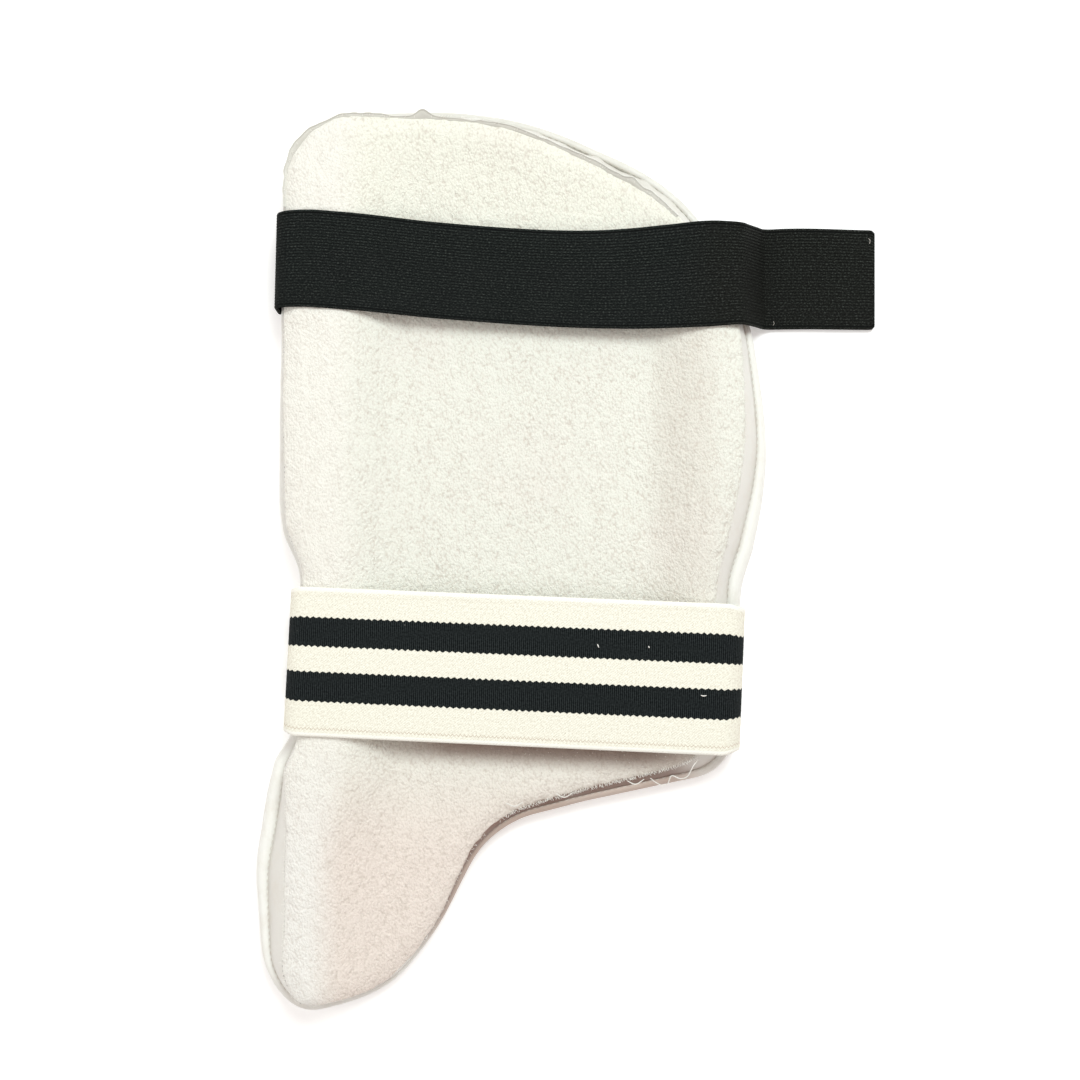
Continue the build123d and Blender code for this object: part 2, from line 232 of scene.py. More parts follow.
# ---------------------------------------------------------------- materials
class Value:
    """A number on a material's surface that takes part in sums."""

    def __init__(self, paint, socket):
        self.paint, self.socket = paint, socket

    def __add__(self, other):
        return self.paint.sum("ADD", self, other)

    def __sub__(self, other):
        return self.paint.sum("SUBTRACT", self, other)

    def __rsub__(self, other):
        return self.paint.sum("SUBTRACT", other, self)

    def __mul__(self, other):
        return self.paint.sum("MULTIPLY", self, other)

    def __truediv__(self, other):
        return self.paint.sum("DIVIDE", self, other)

    __radd__, __rmul__ = __add__, __mul__

    def clipped(self):
        return self.paint.sum("ADD", self, 0.0, use_clamp=True)

    def least(self, other):
        return self.paint.sum("MINIMUM", self, other)

    def most(self, other):
        return self.paint.sum("MAXIMUM", self, other)

    def size(self):
        return self.paint.sum("ABSOLUTE", self)

    def wave(self):
        return self.paint.sum("SINE", self)

    def fraction(self):
        return self.paint.sum("FRACT", self)

    def step(self, low, high):
        """Eased step from low to high."""
        return self.paint.node(
            "ShaderNodeMapRange",
            {"interpolation_type": "SMOOTHSTEP"},
            {"Value": self, "From Min": low, "From Max": high},
        )


class Paint:
    """One material: a Principled surface and the nodes that feed it."""

    def __init__(self, name, **constants):
        self.material = bpy.data.materials.new(name)
        self.material.use_nodes = True
        self.tree = self.material.node_tree
        self.surface = self.tree.nodes["Principled BSDF"]
        for socket, value in constants.items():
            self.surface.inputs[socket.replace("_", " ")].default_value = value

    def node(self, kind, settings=None, inputs=None, output=0):
        """Adds a node, sets it, feeds its sockets and returns one output."""
        made = self.tree.nodes.new(kind)
        for key, value in (settings or {}).items():
            setattr(made, key, value)
        for key, value in (inputs or {}).items():
            self.feed(made.inputs[key], value)
        return Value(self, made.outputs[output])

    def feed(self, socket, value):
        if isinstance(value, Value):
            self.tree.links.new(value.socket, socket)
        else:
            socket.default_value = value

    def sum(self, operation, first, second=None, **settings):
        inputs = {0: first} if second is None else {0: first, 1: second}
        return self.node("ShaderNodeMath", {"operation": operation, **settings}, inputs)

    def place(self):
        return self.node("ShaderNodeTexCoord", output="Object")

    def weave(self):
        """Along and across a strap's cloth, in metres."""
        return self.node("ShaderNodeUVMap", {"uv_map": "weave"})

    def axes(self, vector):
        made = self.tree.nodes.new("ShaderNodeSeparateXYZ")
        self.feed(made.inputs[0], vector)
        return [Value(self, out) for out in made.outputs]

    def stretched(self, vector, scale, turn=(0, 0, 0)):
        return self.node(
            "ShaderNodeMapping", {}, {"Vector": vector, "Scale": scale, "Rotation": turn}
        )

    def noise(self, vector, scale, detail=2.0, rough=0.5):
        return self.node(
            "ShaderNodeTexNoise",
            {},
            {"Vector": vector, "Scale": scale, "Detail": detail, "Roughness": rough},
        )

    def cells(self, vector, scale, feature="F1", smoothness=None):
        inputs = {"Vector": vector, "Scale": scale}
        if smoothness is not None:
            inputs["Smoothness"] = smoothness
        return self.node("ShaderNodeTexVoronoi", {"feature": feature}, inputs)

    def blend(self, share, first, second):
        """Colour first where share is 0, second where it is 1."""
        made = self.tree.nodes.new("ShaderNodeMix")
        made.data_type = "RGBA"
        for index, value in ((0, share), (6, first), (7, second)):
            if isinstance(value, tuple):
                value = (*value, 1.0)
            self.feed(made.inputs[index], value)
        return Value(self, made.outputs[2])

    def bump(self, height, distance, strength=1.0):
        shape = self.node(
            "ShaderNodeBump",
            {},
            {"Height": height, "Distance": distance, "Strength": strength},
            output="Normal",
        )
        self.feed(self.surface.inputs["Normal"], shape)

    def finish(self, **fed):
        for socket, value in fed.items():
            self.feed(self.surface.inputs[socket.replace("_", " ")], value)
        return self.material


def towelling():
    """Cream terry cloth: short brushed loops, a little pinker towards the toe, with painted light
    and painted shade.
    """
    paint = Paint(
        "towelling",
        Roughness=0.95,
        Specular_IOR_Level=0.2,
        Sheen_Weight=0.25,
        Sheen_Roughness=0.6,
    )
    at = paint.place()
    drift = paint.stretched(at, (1.0, 0.75, 1.0), (0, 0, 0.6))
    loops = paint.cells(drift, 980, "SMOOTH_F1", 0.35)
    curls = paint.noise(at, 1900, 3, 0.8)
    tufts = paint.noise(drift, 560, 4, 0.7)
    rows = paint.noise(paint.stretched(at, (1.0, 0.3, 1.0), (0, 0, 0.9)), 210, 3, 0.6)
    patches = paint.noise(at, 24, 3)
    x, y, _ = paint.axes(at)
    # Tone drifts from cream at the crown to pinker and darker at the toe: partly the cloth's own
    # tone, partly painted light at the crown and painted shade at the toe.
    toe = y.step(-0.07, -0.15)
    crown = y.step(0.09, 0.17)
    plain = paint.blend(toe, (0.935, 0.935, 0.850), (0.945, 0.845, 0.770))
    plain = paint.blend(crown, plain, (0.965, 0.960, 0.850))
    # Painted light: the flat rims on either side of the trough are painted paler.
    rim_light = (x + toe * 0.012).step(-0.067, -0.087)
    rim = paint.blend(toe, (0.985, 0.965, 0.890), (1.0, 0.985, 0.935))
    plain = paint.blend(rim_light, plain, rim)
    # Painted shade: the trough's right slope is painted darker.
    slope = x.step(0.060, 0.078) * x.step(0.104, 0.090) * (1 - crown) * (1 - toe)
    plain = paint.blend(slope * 0.6, plain, (0.83, 0.785, 0.705))
    warm = paint.blend((patches - 0.5) * 1.0, plain, (0.93, 0.86, 0.80))
    # Painted shade in the pile: the hollows between the loops are painted a darker brown, less so
    # on the rims.
    deep = (loops * 1.5 - 0.5) + (0.5 - tufts) * 1.6 + (0.5 - curls) * 1.4
    deep = (deep + (0.5 - rows) * 1.0 - 0.18).clipped() * (1 - rim_light * 0.4)
    colour = paint.blend(deep * 0.66, warm, (0.64, 0.56, 0.48))
    # Painted shade: the lining's edge where it turns down at the crotch is painted brown.
    facing = paint.axes(paint.node("ShaderNodeNewGeometry", output="Normal"))[2]
    crotch = (x + y * 0.55).step(-0.150, -0.105) * y.step(-0.088, -0.112)
    turned = crotch * facing.step(0.93, 0.55)
    colour = paint.blend(turned * 0.75, colour, (0.46, 0.34, 0.28))
    # Painted shadow: a brown band on the lining just below the striped strap.
    c, s = math.cos(STRIPED_TURN), math.sin(STRIPED_TURN)
    across = x * -s + (y - STRIPED_Y) * c
    under = across.step(-50 * MM, -37 * MM) * across.step(-30 * MM, -35 * MM)
    under = under * x.step(-0.080, -0.020) * x.step(0.106, 0.060)
    colour = paint.blend(under * 0.85, colour, (0.31, 0.20, 0.16))
    paint.bump((1 - loops) * 0.8 + curls * 0.8 + tufts * 1.2 + rows * 0.6, 0.0011, 0.72)
    return paint.finish(Base_Color=colour)


def leathercloth(name, dark, light, shaded, sheen):
    """Coated cloth with a pressed grain, soft creases and random soil; painted shade in the crotch
    and over the crown's folds.
    """
    paint = Paint(name, Specular_IOR_Level=sheen, Coat_Weight=0.12, Coat_Roughness=0.35)
    at = paint.place()
    x, y, z = paint.axes(at)
    grain = paint.cells(at, 1100, "DISTANCE_TO_EDGE")
    creases = paint.noise(paint.stretched(at, (1, 0.35, 1)), 120, 3)
    tone = paint.noise(at, 30, 3)
    colour = paint.blend(tone, dark, light)
    soil = (0.52 - paint.noise(at, 75, 4, 0.7)).clipped() * 1.5
    # Painted shade: in the crotch the wall and roll above the seam take the shaded colour.
    crotch = y.step(-0.088, -0.106) * (x + y * 0.55).step(-0.165, -0.115) * x.step(0.100, 0.075)
    crotch = crotch * (0.65 + tone * 0.6) * z.step(SEAM_Z - 4 * MM, SEAM_Z - 1 * MM)
    colour = paint.blend(soil, colour, (0.70, 0.64, 0.55))
    # Painted shade: across the crown the wall and roll are painted darker, most in their folds.
    crown = y.step(0.125, 0.185)
    fold_shade = paint.noise(paint.stretched(at, (1, 2.5, 1), (0, 0, 0.5)), 110, 3, 0.6)
    colour = paint.blend(crown * (0.35 + fold_shade * 0.65), colour, (0.60, 0.585, 0.53))
    colour = paint.blend(crotch.clipped(), colour, shaded)
    rough = 0.38 + (tone - 0.5) * 0.12 + crotch * 0.2
    paint.bump(grain.least(0.12) * 2.2 + creases * 0.8, 0.0006, 0.35)
    return paint.finish(Base_Color=colour, Roughness=rough)


def black_elastic():
    """Black ribbed elastic: fine covered yarns that cross the ribs."""
    paint = Paint("black_elastic", Roughness=0.8, Specular_IOR_Level=0.08)
    cloth = paint.weave()
    along, across, _ = paint.axes(cloth)
    yarn = (along * 2 * math.pi / (0.75 * MM)).wave()
    rib = ((across / BLACK_WIDTH + 0.5) * math.pi * BLACK_RIBS).wave().size()
    fuzz = paint.noise(paint.stretched(cloth, (1, 1.6, 1)), 1050, 2, 0.65)
    tone = paint.noise(cloth, 60, 2)
    far = along.step(0.235, 0.262)
    colour = paint.blend(tone, (0.0055, 0.0072, 0.0070), (0.0105, 0.0132, 0.0125))
    colour = paint.blend(far * 0.6, colour, (0.0085, 0.0082, 0.0062))
    # Painted shade: the grooves between the ribs are painted near black.
    colour = paint.blend(rib.step(0.75, 0.1) * 0.9, colour, (0.0010, 0.0013, 0.0013))
    worn = ((fuzz - 0.50) * 4.0).clipped() * (rib * 0.8 + 0.2)
    colour = paint.blend(worn, colour, (0.062, 0.070, 0.063))
    selvedge = across.size().step(21.4 * MM, 21.8 * MM) * across.size().step(22.6 * MM, 22.2 * MM)
    colour = paint.blend(selvedge * 0.8, colour, (0.002, 0.0025, 0.0025))
    paint.bump(yarn * 0.12 + fuzz * 0.9, 0.0005, 0.6)
    return paint.finish(Base_Color=colour)


BLACK_WIDTH = 47 * MM
BLACK_RIBS = 33
STRIPE_EDGES = (-18.6, -4.6, 7.4, 21.1)  # millimetres from the strap's centre line


def striped_elastic():
    """Cream elastic with two black stripes whose edges step from yarn to yarn."""
    paint = Paint("striped_elastic", Roughness=0.85, Specular_IOR_Level=0.08)
    cloth = paint.weave()
    along, across, _ = paint.axes(cloth)
    tooth = (along / (3.0 * MM)).fraction()
    jag = (tooth - 0.5).size() * 1.8 * MM - 0.45 * MM
    ragged = (paint.noise(cloth, 900, 2) - 0.5) * 0.9 * MM
    edge = jag + ragged

    def stripe(low, high):
        above = (across - low * MM + edge * 0.9).step(-0.12 * MM, 0.12 * MM)
        below = (high * MM - across + edge * 0.9).step(-0.12 * MM, 0.12 * MM)
        return above * below

    low_a, high_a, low_b, high_b = STRIPE_EDGES
    dark = stripe(low_a, high_a).most(stripe(low_b, high_b))
    twill = ((along * 1.6 + across) * 2 * math.pi / (1.25 * MM)).wave()
    cross = ((along - across * 1.3) * 2 * math.pi / (1.6 * MM)).wave()
    rib = (along * 2 * math.pi / (0.95 * MM)).wave()
    fuzz = paint.noise(cloth, 1050, 3, 0.7)
    cream = paint.blend(
        ((twill * cross * 0.5 + 0.5) * 0.85 + (fuzz - 0.5) * 2.8 - 0.1).clipped(),
        (0.960, 0.950, 0.840),
        (0.70, 0.655, 0.545),
    )
    hook = ((along * math.pi / (1.9 * MM)).wave() * 1.0 * MM).size()
    edge_run = (across.size() - 30.8 * MM - hook).size()
    lower = across.step(5 * MM, -5 * MM)
    loops = edge_run.step(0.40 * MM, 0.12 * MM) * (0.05 + lower * 0.6 + fuzz * 0.3)
    cream = paint.blend(loops, cream, (0.62, 0.53, 0.43))
    lip = across.size().step(33.0 * MM, 33.6 * MM)
    cream = paint.blend(lip * 0.8, cream, (0.975, 0.965, 0.90))
    specks = (paint.cells(cloth, 55).step(0.035, 0.02)) * dark
    black = paint.blend(
        (rib * 0.45 + (fuzz - 0.5) * 2.6 + 0.4).clipped(),
        (0.0030, 0.0045, 0.0050),
        (0.029, 0.035, 0.036),
    )
    colour = paint.blend(dark, cream, black)
    colour = paint.blend(specks * 0.35, colour, (0.5, 0.5, 0.46))
    light = (twill + cross) * 0.14 + fuzz * 0.9
    heavy = rib * 0.5 + fuzz * 0.8
    paint.bump(light * (1 - dark) + heavy * dark + dark * 0.5, 0.0005, 0.6)
    return paint.finish(Base_Color=colour)


def sewing_thread(name, dark, light, sheen=0.2):
    paint = Paint(name, Roughness=0.6, Sheen_Weight=sheen)
    strands = paint.noise(paint.place(), 2500, 2)
    colour = paint.blend(strands, dark, light)
    paint.bump(strands, 0.0002, 0.5)
    return paint.finish(Base_Color=colour)


def hook_tape():
    """Black nylon with rows of stiff hooks."""
    paint = Paint("hook_tape", Roughness=0.5, Specular_IOR_Level=0.5)
    weave = paint.noise(paint.place(), 1300, 3)
    colour = paint.blend(weave, (0.012, 0.012, 0.013), (0.04, 0.04, 0.042))
    paint.bump(weave, 0.0003, 0.5)
    return paint.finish(Base_Color=colour)


def loop_tape():
    """Napped white nylon loops."""
    paint = Paint("loop_tape", Roughness=0.95, Sheen_Weight=0.3)
    nap = paint.noise(paint.place(), 900, 4, 0.75)
    colour = paint.blend(nap, (0.70, 0.69, 0.65), (0.90, 0.89, 0.86))
    paint.bump(nap, 0.0008, 0.9)
    return paint.finish(Base_Color=colour)


def foam(name, dark, light):
    """Open-celled foam."""
    paint = Paint(name, Roughness=0.9)
    pores = paint.cells(paint.place(), 700)
    colour = paint.blend(pores, dark, light)
    paint.bump(pores, 0.0006, 0.7)
    return paint.finish(Base_Color=colour)


def pale_floor():
    paint = Paint("pale_floor", Roughness=0.9, Specular_IOR_Level=0.1)
    tone = paint.noise(paint.place(), 3, 2)
    colour = paint.blend(tone, (0.93, 0.93, 0.93), (0.95, 0.95, 0.95))
    paint.surface.inputs["Emission Strength"].default_value = 0.25
    return paint.finish(Base_Color=colour, Emission_Color=(1, 1, 1, 1))


# ------------------------------------------------------------- pad outline
def cad_outline():
    """The pad's edge at the seam, read from the front cover's rim, anticlockwise."""
    mesh = frame["nodes"]["front_cover"].data
    co = places(mesh)
    top = co[:, 2].max()
    keys = {}
    same = [keys.setdefault(tuple(np.round(p, 6)), len(keys)) for p in co]
    spots = np.array(list(keys))
    rim = np.abs(spots[:, 2] - top) < 1e-5
    counts = {}
    for polygon in mesh.polygons:
        corners = [same[v] for v in polygon.vertices]
        if all(rim[c] for c in corners):
            for a, b in zip(corners, corners[1:] + corners[:1]):
                counts[a, b] = counts.get((a, b), 0) + 1
    ways = {a: b for a, b in counts if (b, a) not in counts}
    loops = []
    while ways:
        start, here = next(iter(ways)), None
        loop, here = [start], ways.pop(start)
        while here != start:
            loop.append(here)
            here = ways.pop(here)
        loops.append(spots[loop][:, :2])

    def area(loop):
        x, y = loop.T
        return float(np.sum(x * np.roll(y, -1) - np.roll(x, -1) * y)) / 2

    outer = max(loops, key=lambda loop: abs(area(loop)))
    return outer if area(outer) > 0 else outer[::-1]


def resampled(loop, count):
    """A closed loop's points at even distances."""
    closed = np.vstack([loop, loop[:1]])
    run = np.concatenate([[0], np.cumsum(np.linalg.norm(np.diff(closed, axis=0), axis=1))])
    at = np.linspace(0, run[-1], count, endpoint=False)
    return np.stack([np.interp(at, run, closed[:, k]) for k in range(2)], axis=1)


def eased(values, passes):
    """Softens numbers round a closed loop."""
    for _ in range(passes):
        values = (np.roll(values, 1, 0) + 2 * values + np.roll(values, -1, 0)) / 4
    return values


SEAM_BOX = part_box("front_cover")
SEAM_Z = SEAM_BOX[1].z
PIPING_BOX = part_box("piping")
SEAM_INSET = (PIPING_BOX[1].x - SEAM_BOX[1].x)  # piping's outside to the seam
RIM_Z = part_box("side_wall")[1].z
TROUGH_Z = RIM_Z - 10 * MM
ROUND = 1000  # points round the pad on its finest rings
STRIPED_TURN = math.radians(-2.2)
STRIPED_Y = -53 * MM


def striped_axes(points):
    """A point's place along and across the striped strap's own axes."""
    p = np.asarray(points)[:, :2] - (0, STRIPED_Y)
    c, s = math.cos(STRIPED_TURN), math.sin(STRIPED_TURN)
    return p[:, 0] * c + p[:, 1] * s, -p[:, 0] * s + p[:, 1] * c


PINCH = (-106.5 * MM, 109.3 * MM)  # the striped strap's grip, along its own length
LEAN = 0.017  # how the grip's left end runs outwards towards the toe


def pinched(loop):
    """The pad's edge drawn in where the striped strap holds it tight."""
    u, v = striped_axes(loop)
    grip = smooth(np.where(v > 0, (62 * MM - v) / (26 * MM), (52 * MM + v) / (18 * MM)))
    held = u + grip * (np.clip(u, PINCH[0] + LEAN * v, PINCH[1]) - u)
    shoulder = np.exp(-(((v + 66 * MM) / (15 * MM)) ** 2)) * (u < -0.09)
    held = held - shoulder * 0.9 * MM
    c, s = math.cos(STRIPED_TURN), math.sin(STRIPED_TURN)
    return np.column_stack([held * c - v * s, STRIPED_Y + held * s + v * c])


class Edge:
    """The pad's outer edge: points, ways out, and values named at places on it."""

    def __init__(self, count):
        seam = resampled(cad_outline(), ROUND)
        out = self.outward(seam)
        outer = seam + out * SEAM_INSET
        self.xy = pinched(resampled(eased(outer, 6), count))
        self.out = self.outward(eased(self.xy, 3))
        self.count = count

    @staticmethod
    def outward(loop):
        along = np.roll(loop, -1, 0) - np.roll(loop, 1, 0)
        along /= np.linalg.norm(along, axis=1)[:, None]
        return np.stack([along[:, 1], -along[:, 0]], axis=1)

    def named(self, anchors, passes):
        """Values from (x mm, y mm, value) anchors, each at its nearest edge point."""
        spots = sorted(
            (int(np.argmin(np.hypot(*(self.xy - (x * MM, y * MM)).T))), v)
            for x, y, v in anchors
        )
        index = [i for i, _ in spots]
        value = [v for _, v in spots]
        index = [index[-1] - self.count, *index, index[0] + self.count]
        value = [value[-1], *value, value[0]]
        around = np.interp(np.arange(self.count), index, value)
        return eased(around, int(passes * (self.count / ROUND) ** 2) + 1)

    def ring(self, setback, z):
        """The edge moved in by setback, at height z."""
        xy = self.xy - self.out * np.broadcast_to(setback, self.count)[:, None]
        return np.column_stack([xy, np.broadcast_to(z, self.count)])


# How far the towelling's edge stands in from the pad's outer edge, in mm.
LINING_SETBACK = [
    (-114, 150, 5.0), (-114, 60, 5.5), (-112, 25, 7.0), (-107, -10, 5.0),
    (-111, -60, 5.0), (-114, -95, 8.0), (-121, -120, 15.0), (-126, -150, 18.5),
    (-124, -180, 16.5), (-119, -200, 13.0), (-105, -217, 8.0), (-85, -219, 5.5),
    (-60, -207, 3.0), (-40, -180, 2.2), (-25, -148, 2.6), (5, -124, 6.2),
    (45, -115, 7.4), (72, -110, 7.8), (90, -106, 10.0), (106, -96, 19.0),
    (110, -60, 13.5), (112, -25, 12.5), (118, 5, 14.5), (122, 30, 13.5),
    (123, 60, 11.5), (121, 85, 9.0), (118, 105, 7.0), (112, 125, 7.0),
    (98, 155, 8.5), (70, 182, 8.5), (40, 200, 8.0), (5, 212, 6.5),
    (-45, 217, 5.5), (-90, 212, 5.0), (-110, 190, 4.5),
]  # fmt: skip
# Width of the padded roll outside the stitched seam, in mm.
ROLL_WIDTH = [
    (-114, 150, 5.0), (-112, 25, 5.0), (-107, -10, 4.5), (-110, -80, 6.0),
    (-114, -97, 7.6), (-121, -118, 8.8), (-126, -150, 7.2), (-124, -180, 5.6), (-119, -200, 5.5),
    (-100, -218, 4.6), (-40, -180, 4.0), (45, -115, 4.2), (100, -102, 4.5),
    (112, -25, 7.5), (118, 5, 8.2), (122, 30, 6.5), (123, 60, 5.0),
    (121, 85, 4.6), (105, 145, 4.6), (40, 200, 4.6), (-60, 217, 4.4),
]  # fmt: skip


def leg_height(x, y):
    """Height of the leg side's smooth shape, before its edge turns down."""
    toe = smooth((-0.10 - y) / 0.05)
    left = -77 * MM - 10 * MM * toe
    right = 92 * MM
    end = smooth((y - 0.165) / 0.05)
    down_left = smooth((x - left + 5 * MM) / (33 * MM))
    down_right = smooth((right + 4 * MM - x) / (34 * MM))
    depth = (RIM_Z - TROUGH_Z) * (1 - 0.55 * end) * (1 - 0.12 * toe)
    crown = 0.7 * MM * np.cos(np.clip((x - left) / (40 * MM), -1.5, 0) * 2)
    return RIM_Z - 0.6 * MM + crown * (x < left) - depth * down_left * down_right


GROOVE_XS = [-69 * MM, -23 * MM, 23 * MM, 69 * MM]
GROOVE_DEPTH = 3.4 * MM
BEVEL_RISE = 7  # the front's long edges rise this much
BEVEL_RUN = 53.5  # over this width
STRIPED_TAB = 62  # mm, length of the striped strap's closing tab


def front_height(x, y):
    """Height of the ribbed front: crowns at 0, rising to its edges."""
    half_y = (PIPING_BOX[1].y - PIPING_BOX[0].y) / 2
    side = np.clip(np.abs(x) - 0.069, 0, None) * BEVEL_RISE / BEVEL_RUN
    end = np.clip(np.abs(y) - (half_y - 0.035), 0, None) / 5
    z = np.maximum(side, end)
    for gx in GROOVE_XS:
        z = np.maximum(z, GROOVE_DEPTH * (1 - np.clip(np.abs(x - gx) / 0.0055, 0, 1) ** 1.6))
    return z


def distance_inside(points, loop):
    """Shortest distance from each point to a closed loop's points."""
    best = np.full(len(points), 1e9)
    for start in range(0, len(loop), 100):
        part = loop[start : start + 100]
        d = np.hypot(
            points[:, None, 0] - part[None, :, 0], points[:, None, 1] - part[None, :, 1]
        )
        best = np.minimum(best, d.min(axis=1))
    return best


def inside(points, loop):
    """Which points lie within a closed loop."""
    x, y = points[:, 0], points[:, 1]
    hit = np.zeros(len(points), bool)
    for (ax, ay), (bx, by) in zip(loop, np.roll(loop, -1, 0)):
        crosses = (ay > y) != (by > y)
        with np.errstate(divide="ignore", invalid="ignore"):
            hit ^= crosses & (x < (bx - ax) * (y - ay) / (by - ay) + ax)
    return hit


def filled(ring, pitch, lines=()):
    """Triangles inside a flat ring: its own points first, then a staggered grid."""
    ring = np.asarray(ring)[:, :2]
    low, high = ring.min(0), ring.max(0)
    rows = []
    for j, y in enumerate(np.arange(low[1], high[1], pitch * 0.866)):
        xs = np.arange(low[0] + (j % 2) * pitch / 2, high[0], pitch)
        rows.append(np.column_stack([xs, np.full(len(xs), y)]))
    grid = np.vstack(rows)
    for gx in lines:
        near = np.abs(grid[:, 0] - gx) < pitch * 0.62
        grid = grid[~near]
        ys = np.arange(low[1], high[1], pitch * 0.9)
        grid = np.vstack([grid, np.column_stack([np.full(len(ys), gx), ys])])
    grid = grid[inside(grid, ring)]
    grid = grid[distance_inside(grid, ring) > pitch * 0.62]
    spots = np.vstack([ring, grid])
    n = len(ring)
    sides = [(i, (i + 1) % n) for i in range(n)]
    made = geometry.delaunay_2d_cdt([Vector(p) for p in spots], sides, [], 1, 1e-7)
    verts, faces, origins = made[0], made[2], made[3]
    index = [o[0] if o else None for o in origins]
    extra = [v for v, o in zip(verts, index) if o is None]
    spots = np.vstack([spots, np.array(extra).reshape(-1, 2)])
    fresh = iter(range(len(spots) - len(extra), len(spots)))
    index = [next(fresh) if o is None else o for o in index]
    return spots, [tuple(index[v] for v in f) for f in faces]


# ------------------------------------------------------------- padded skin
BASE_PITCH = 5 * MM


def skin_shape():
    """Closed skin before it is puffed: points, faces, each face's part and pins."""
    edge = Edge(250)
    lining = edge.named(LINING_SETBACK, 150) * MM
    roll = edge.named(ROLL_WIDTH, 150) * MM
    flat = edge.ring(lining, 0)
    z_edge = leg_height(flat[:, 0], flat[:, 1]) - 2.6 * MM
    wall_foot = edge.ring(roll - 0.8 * MM, SEAM_Z + 1.6 * MM)
    wall_head = edge.ring(lining, z_edge)
    bow = edge.out * (1.1 * MM)
    rings = [edge.ring(roll - 1.2 * MM, SEAM_Z - 1.6 * MM), wall_foot]
    for t in (0.33, 0.66):
        ring = wall_foot * (1 - t) + wall_head * t
        ring[:, :2] += bow * math.sin(math.pi * t)
        rings.append(ring)
    rings.append(wall_head)
    wall_points, wall_faces = loft(rings)
    n = edge.count
    top_spots, top_faces = filled(wall_head, BASE_PITCH)
    front_spots, front_faces = filled(rings[0], BASE_PITCH, GROOVE_XS)

    def heights(spots, ring, shape, turn):
        d = distance_inside(spots, np.asarray(ring)[:, :2])
        lip = 1 - np.sqrt(np.clip(1 - (1 - np.clip(d / (7 * MM), 0, 1)) ** 2, 0, 1))
        return shape(spots[:, 0], spots[:, 1]) + turn * lip

    top_z = heights(top_spots[n:], wall_head, leg_height, -2.6 * MM)
    front_z = np.minimum(
        heights(front_spots[n:], rings[0], front_height, 2.0 * MM), SEAM_Z - 1.6 * MM
    )
    points = [*wall_points]
    top_start = len(points) - n
    points += [(*p, z) for p, z in zip(top_spots[n:], top_z)]
    front_start = len(points)
    points += [(*p, z) for p, z in zip(front_spots[n:], front_z)]
    faces, parts = list(wall_faces), ["wall"] * len(wall_faces)
    for f in top_faces:
        faces.append(tuple(top_start + v for v in f))
        parts.append("top")
    for f in front_faces:
        faces.append(tuple(v if v < n else front_start + v - n for v in reversed(f)))
        parts.append("front")
    points = np.array(points)
    hold = np.zeros(len(points))
    hold[: 2 * n] = 1
    trough = (points[:, 2] > SEAM_Z + 3 * MM) & (points[:, 2] < RIM_Z - 4 * MM)
    trough[: top_start + n] = False
    hold[trough] = 0.75
    top = np.arange(top_start + n, front_start)
    hold[top] = np.maximum(hold[top], 0.35)
    front = np.arange(front_start, len(points))
    grooved = np.min([np.abs(points[front, 0] - gx) for gx in GROOVE_XS], axis=0)
    hold[front] = np.where(grooved < 0.5 * MM, 1, 0.2)
    return points, faces, parts, hold


def puffed(points, faces, hold):
    """Cloth simulation: air pressure swells the skin between its held seams."""
    cloth = piece("skin_in_work", points, faces, bpy.data.materials.new("unseen"))
    group = cloth.vertex_groups.new(name="held")
    for i, weight in enumerate(hold):
        if weight:
            group.add([i], float(weight), "REPLACE")
    settings = cloth.modifiers.new("puff", "CLOTH")
    settings.settings.quality = 4
    settings.settings.mass = 0.15
    settings.settings.tension_stiffness = 25
    settings.settings.compression_stiffness = 25
    settings.settings.bending_stiffness = 2.5
    settings.settings.use_pressure = True
    settings.settings.uniform_pressure_force = 4.0
    settings.settings.vertex_group_mass = "held"
    settings.settings.pin_stiffness = 1.5
    settings.settings.effector_weights.gravity = 0
    settings.collision_settings.use_collision = False
    settings.point_cache.frame_start = 1
    settings.point_cache.frame_end = 20
    for step in range(1, 21):
        bpy.context.scene.frame_set(step)
    graph = bpy.context.evaluated_depsgraph_get()
    swollen = places(cloth.evaluated_get(graph).to_mesh()).copy()
    bpy.data.objects.remove(cloth)
    bpy.context.scene.frame_set(1)
    return swollen


def part_of(points, faces, parts, wanted):
    """The points and faces of one part of the skin."""
    kept = [f for f, p in zip(faces, parts) if p == wanted]
    used = sorted({v for f in kept for v in f})
    number = {v: i for i, v in enumerate(used)}
    return points[used], [tuple(number[v] for v in f) for f in kept]


def skin():
    """The puffed skin, its swelling held to at most 2.4 mm."""
    points, faces, parts, hold = skin_shape()
    move = puffed(points, faces, hold) - points
    reach = np.linalg.norm(move, axis=1)
    most = 2.4 * MM
    move *= (np.minimum(reach, most) / np.maximum(reach, 1e-9))[:, None]
    points = points + move
    return points, faces, parts


def under_straps(points):
    """Presses the leg side down under the two straps and the front in over the run."""
    p = points.copy()
    _, across = striped_axes(p)
    band = smooth((48 * MM - np.abs(across)) / (13 * MM))
    top = p[:, 2] > SEAM_Z + 4 * MM
    limit = RIM_Z + 1.4 * MM - 1.7 * MM * band
    black = smooth((34 * MM - np.abs(p[:, 1] - 0.137)) / (10 * MM))
    limit = np.minimum(limit, RIM_Z + 1.4 * MM - 1.5 * MM * black)
    p[:, 2] = np.where(top, np.minimum(p[:, 2], limit), p[:, 2])
    press = smooth((41.5 * MM - np.abs(across)) / (5 * MM))
    floor = 4.6 * MM * press
    front = p[:, 2] < SEAM_Z - 1 * MM
    p[:, 2] = np.where(front, np.maximum(p[:, 2], np.maximum(floor, 0)), p[:, 2])
    return p


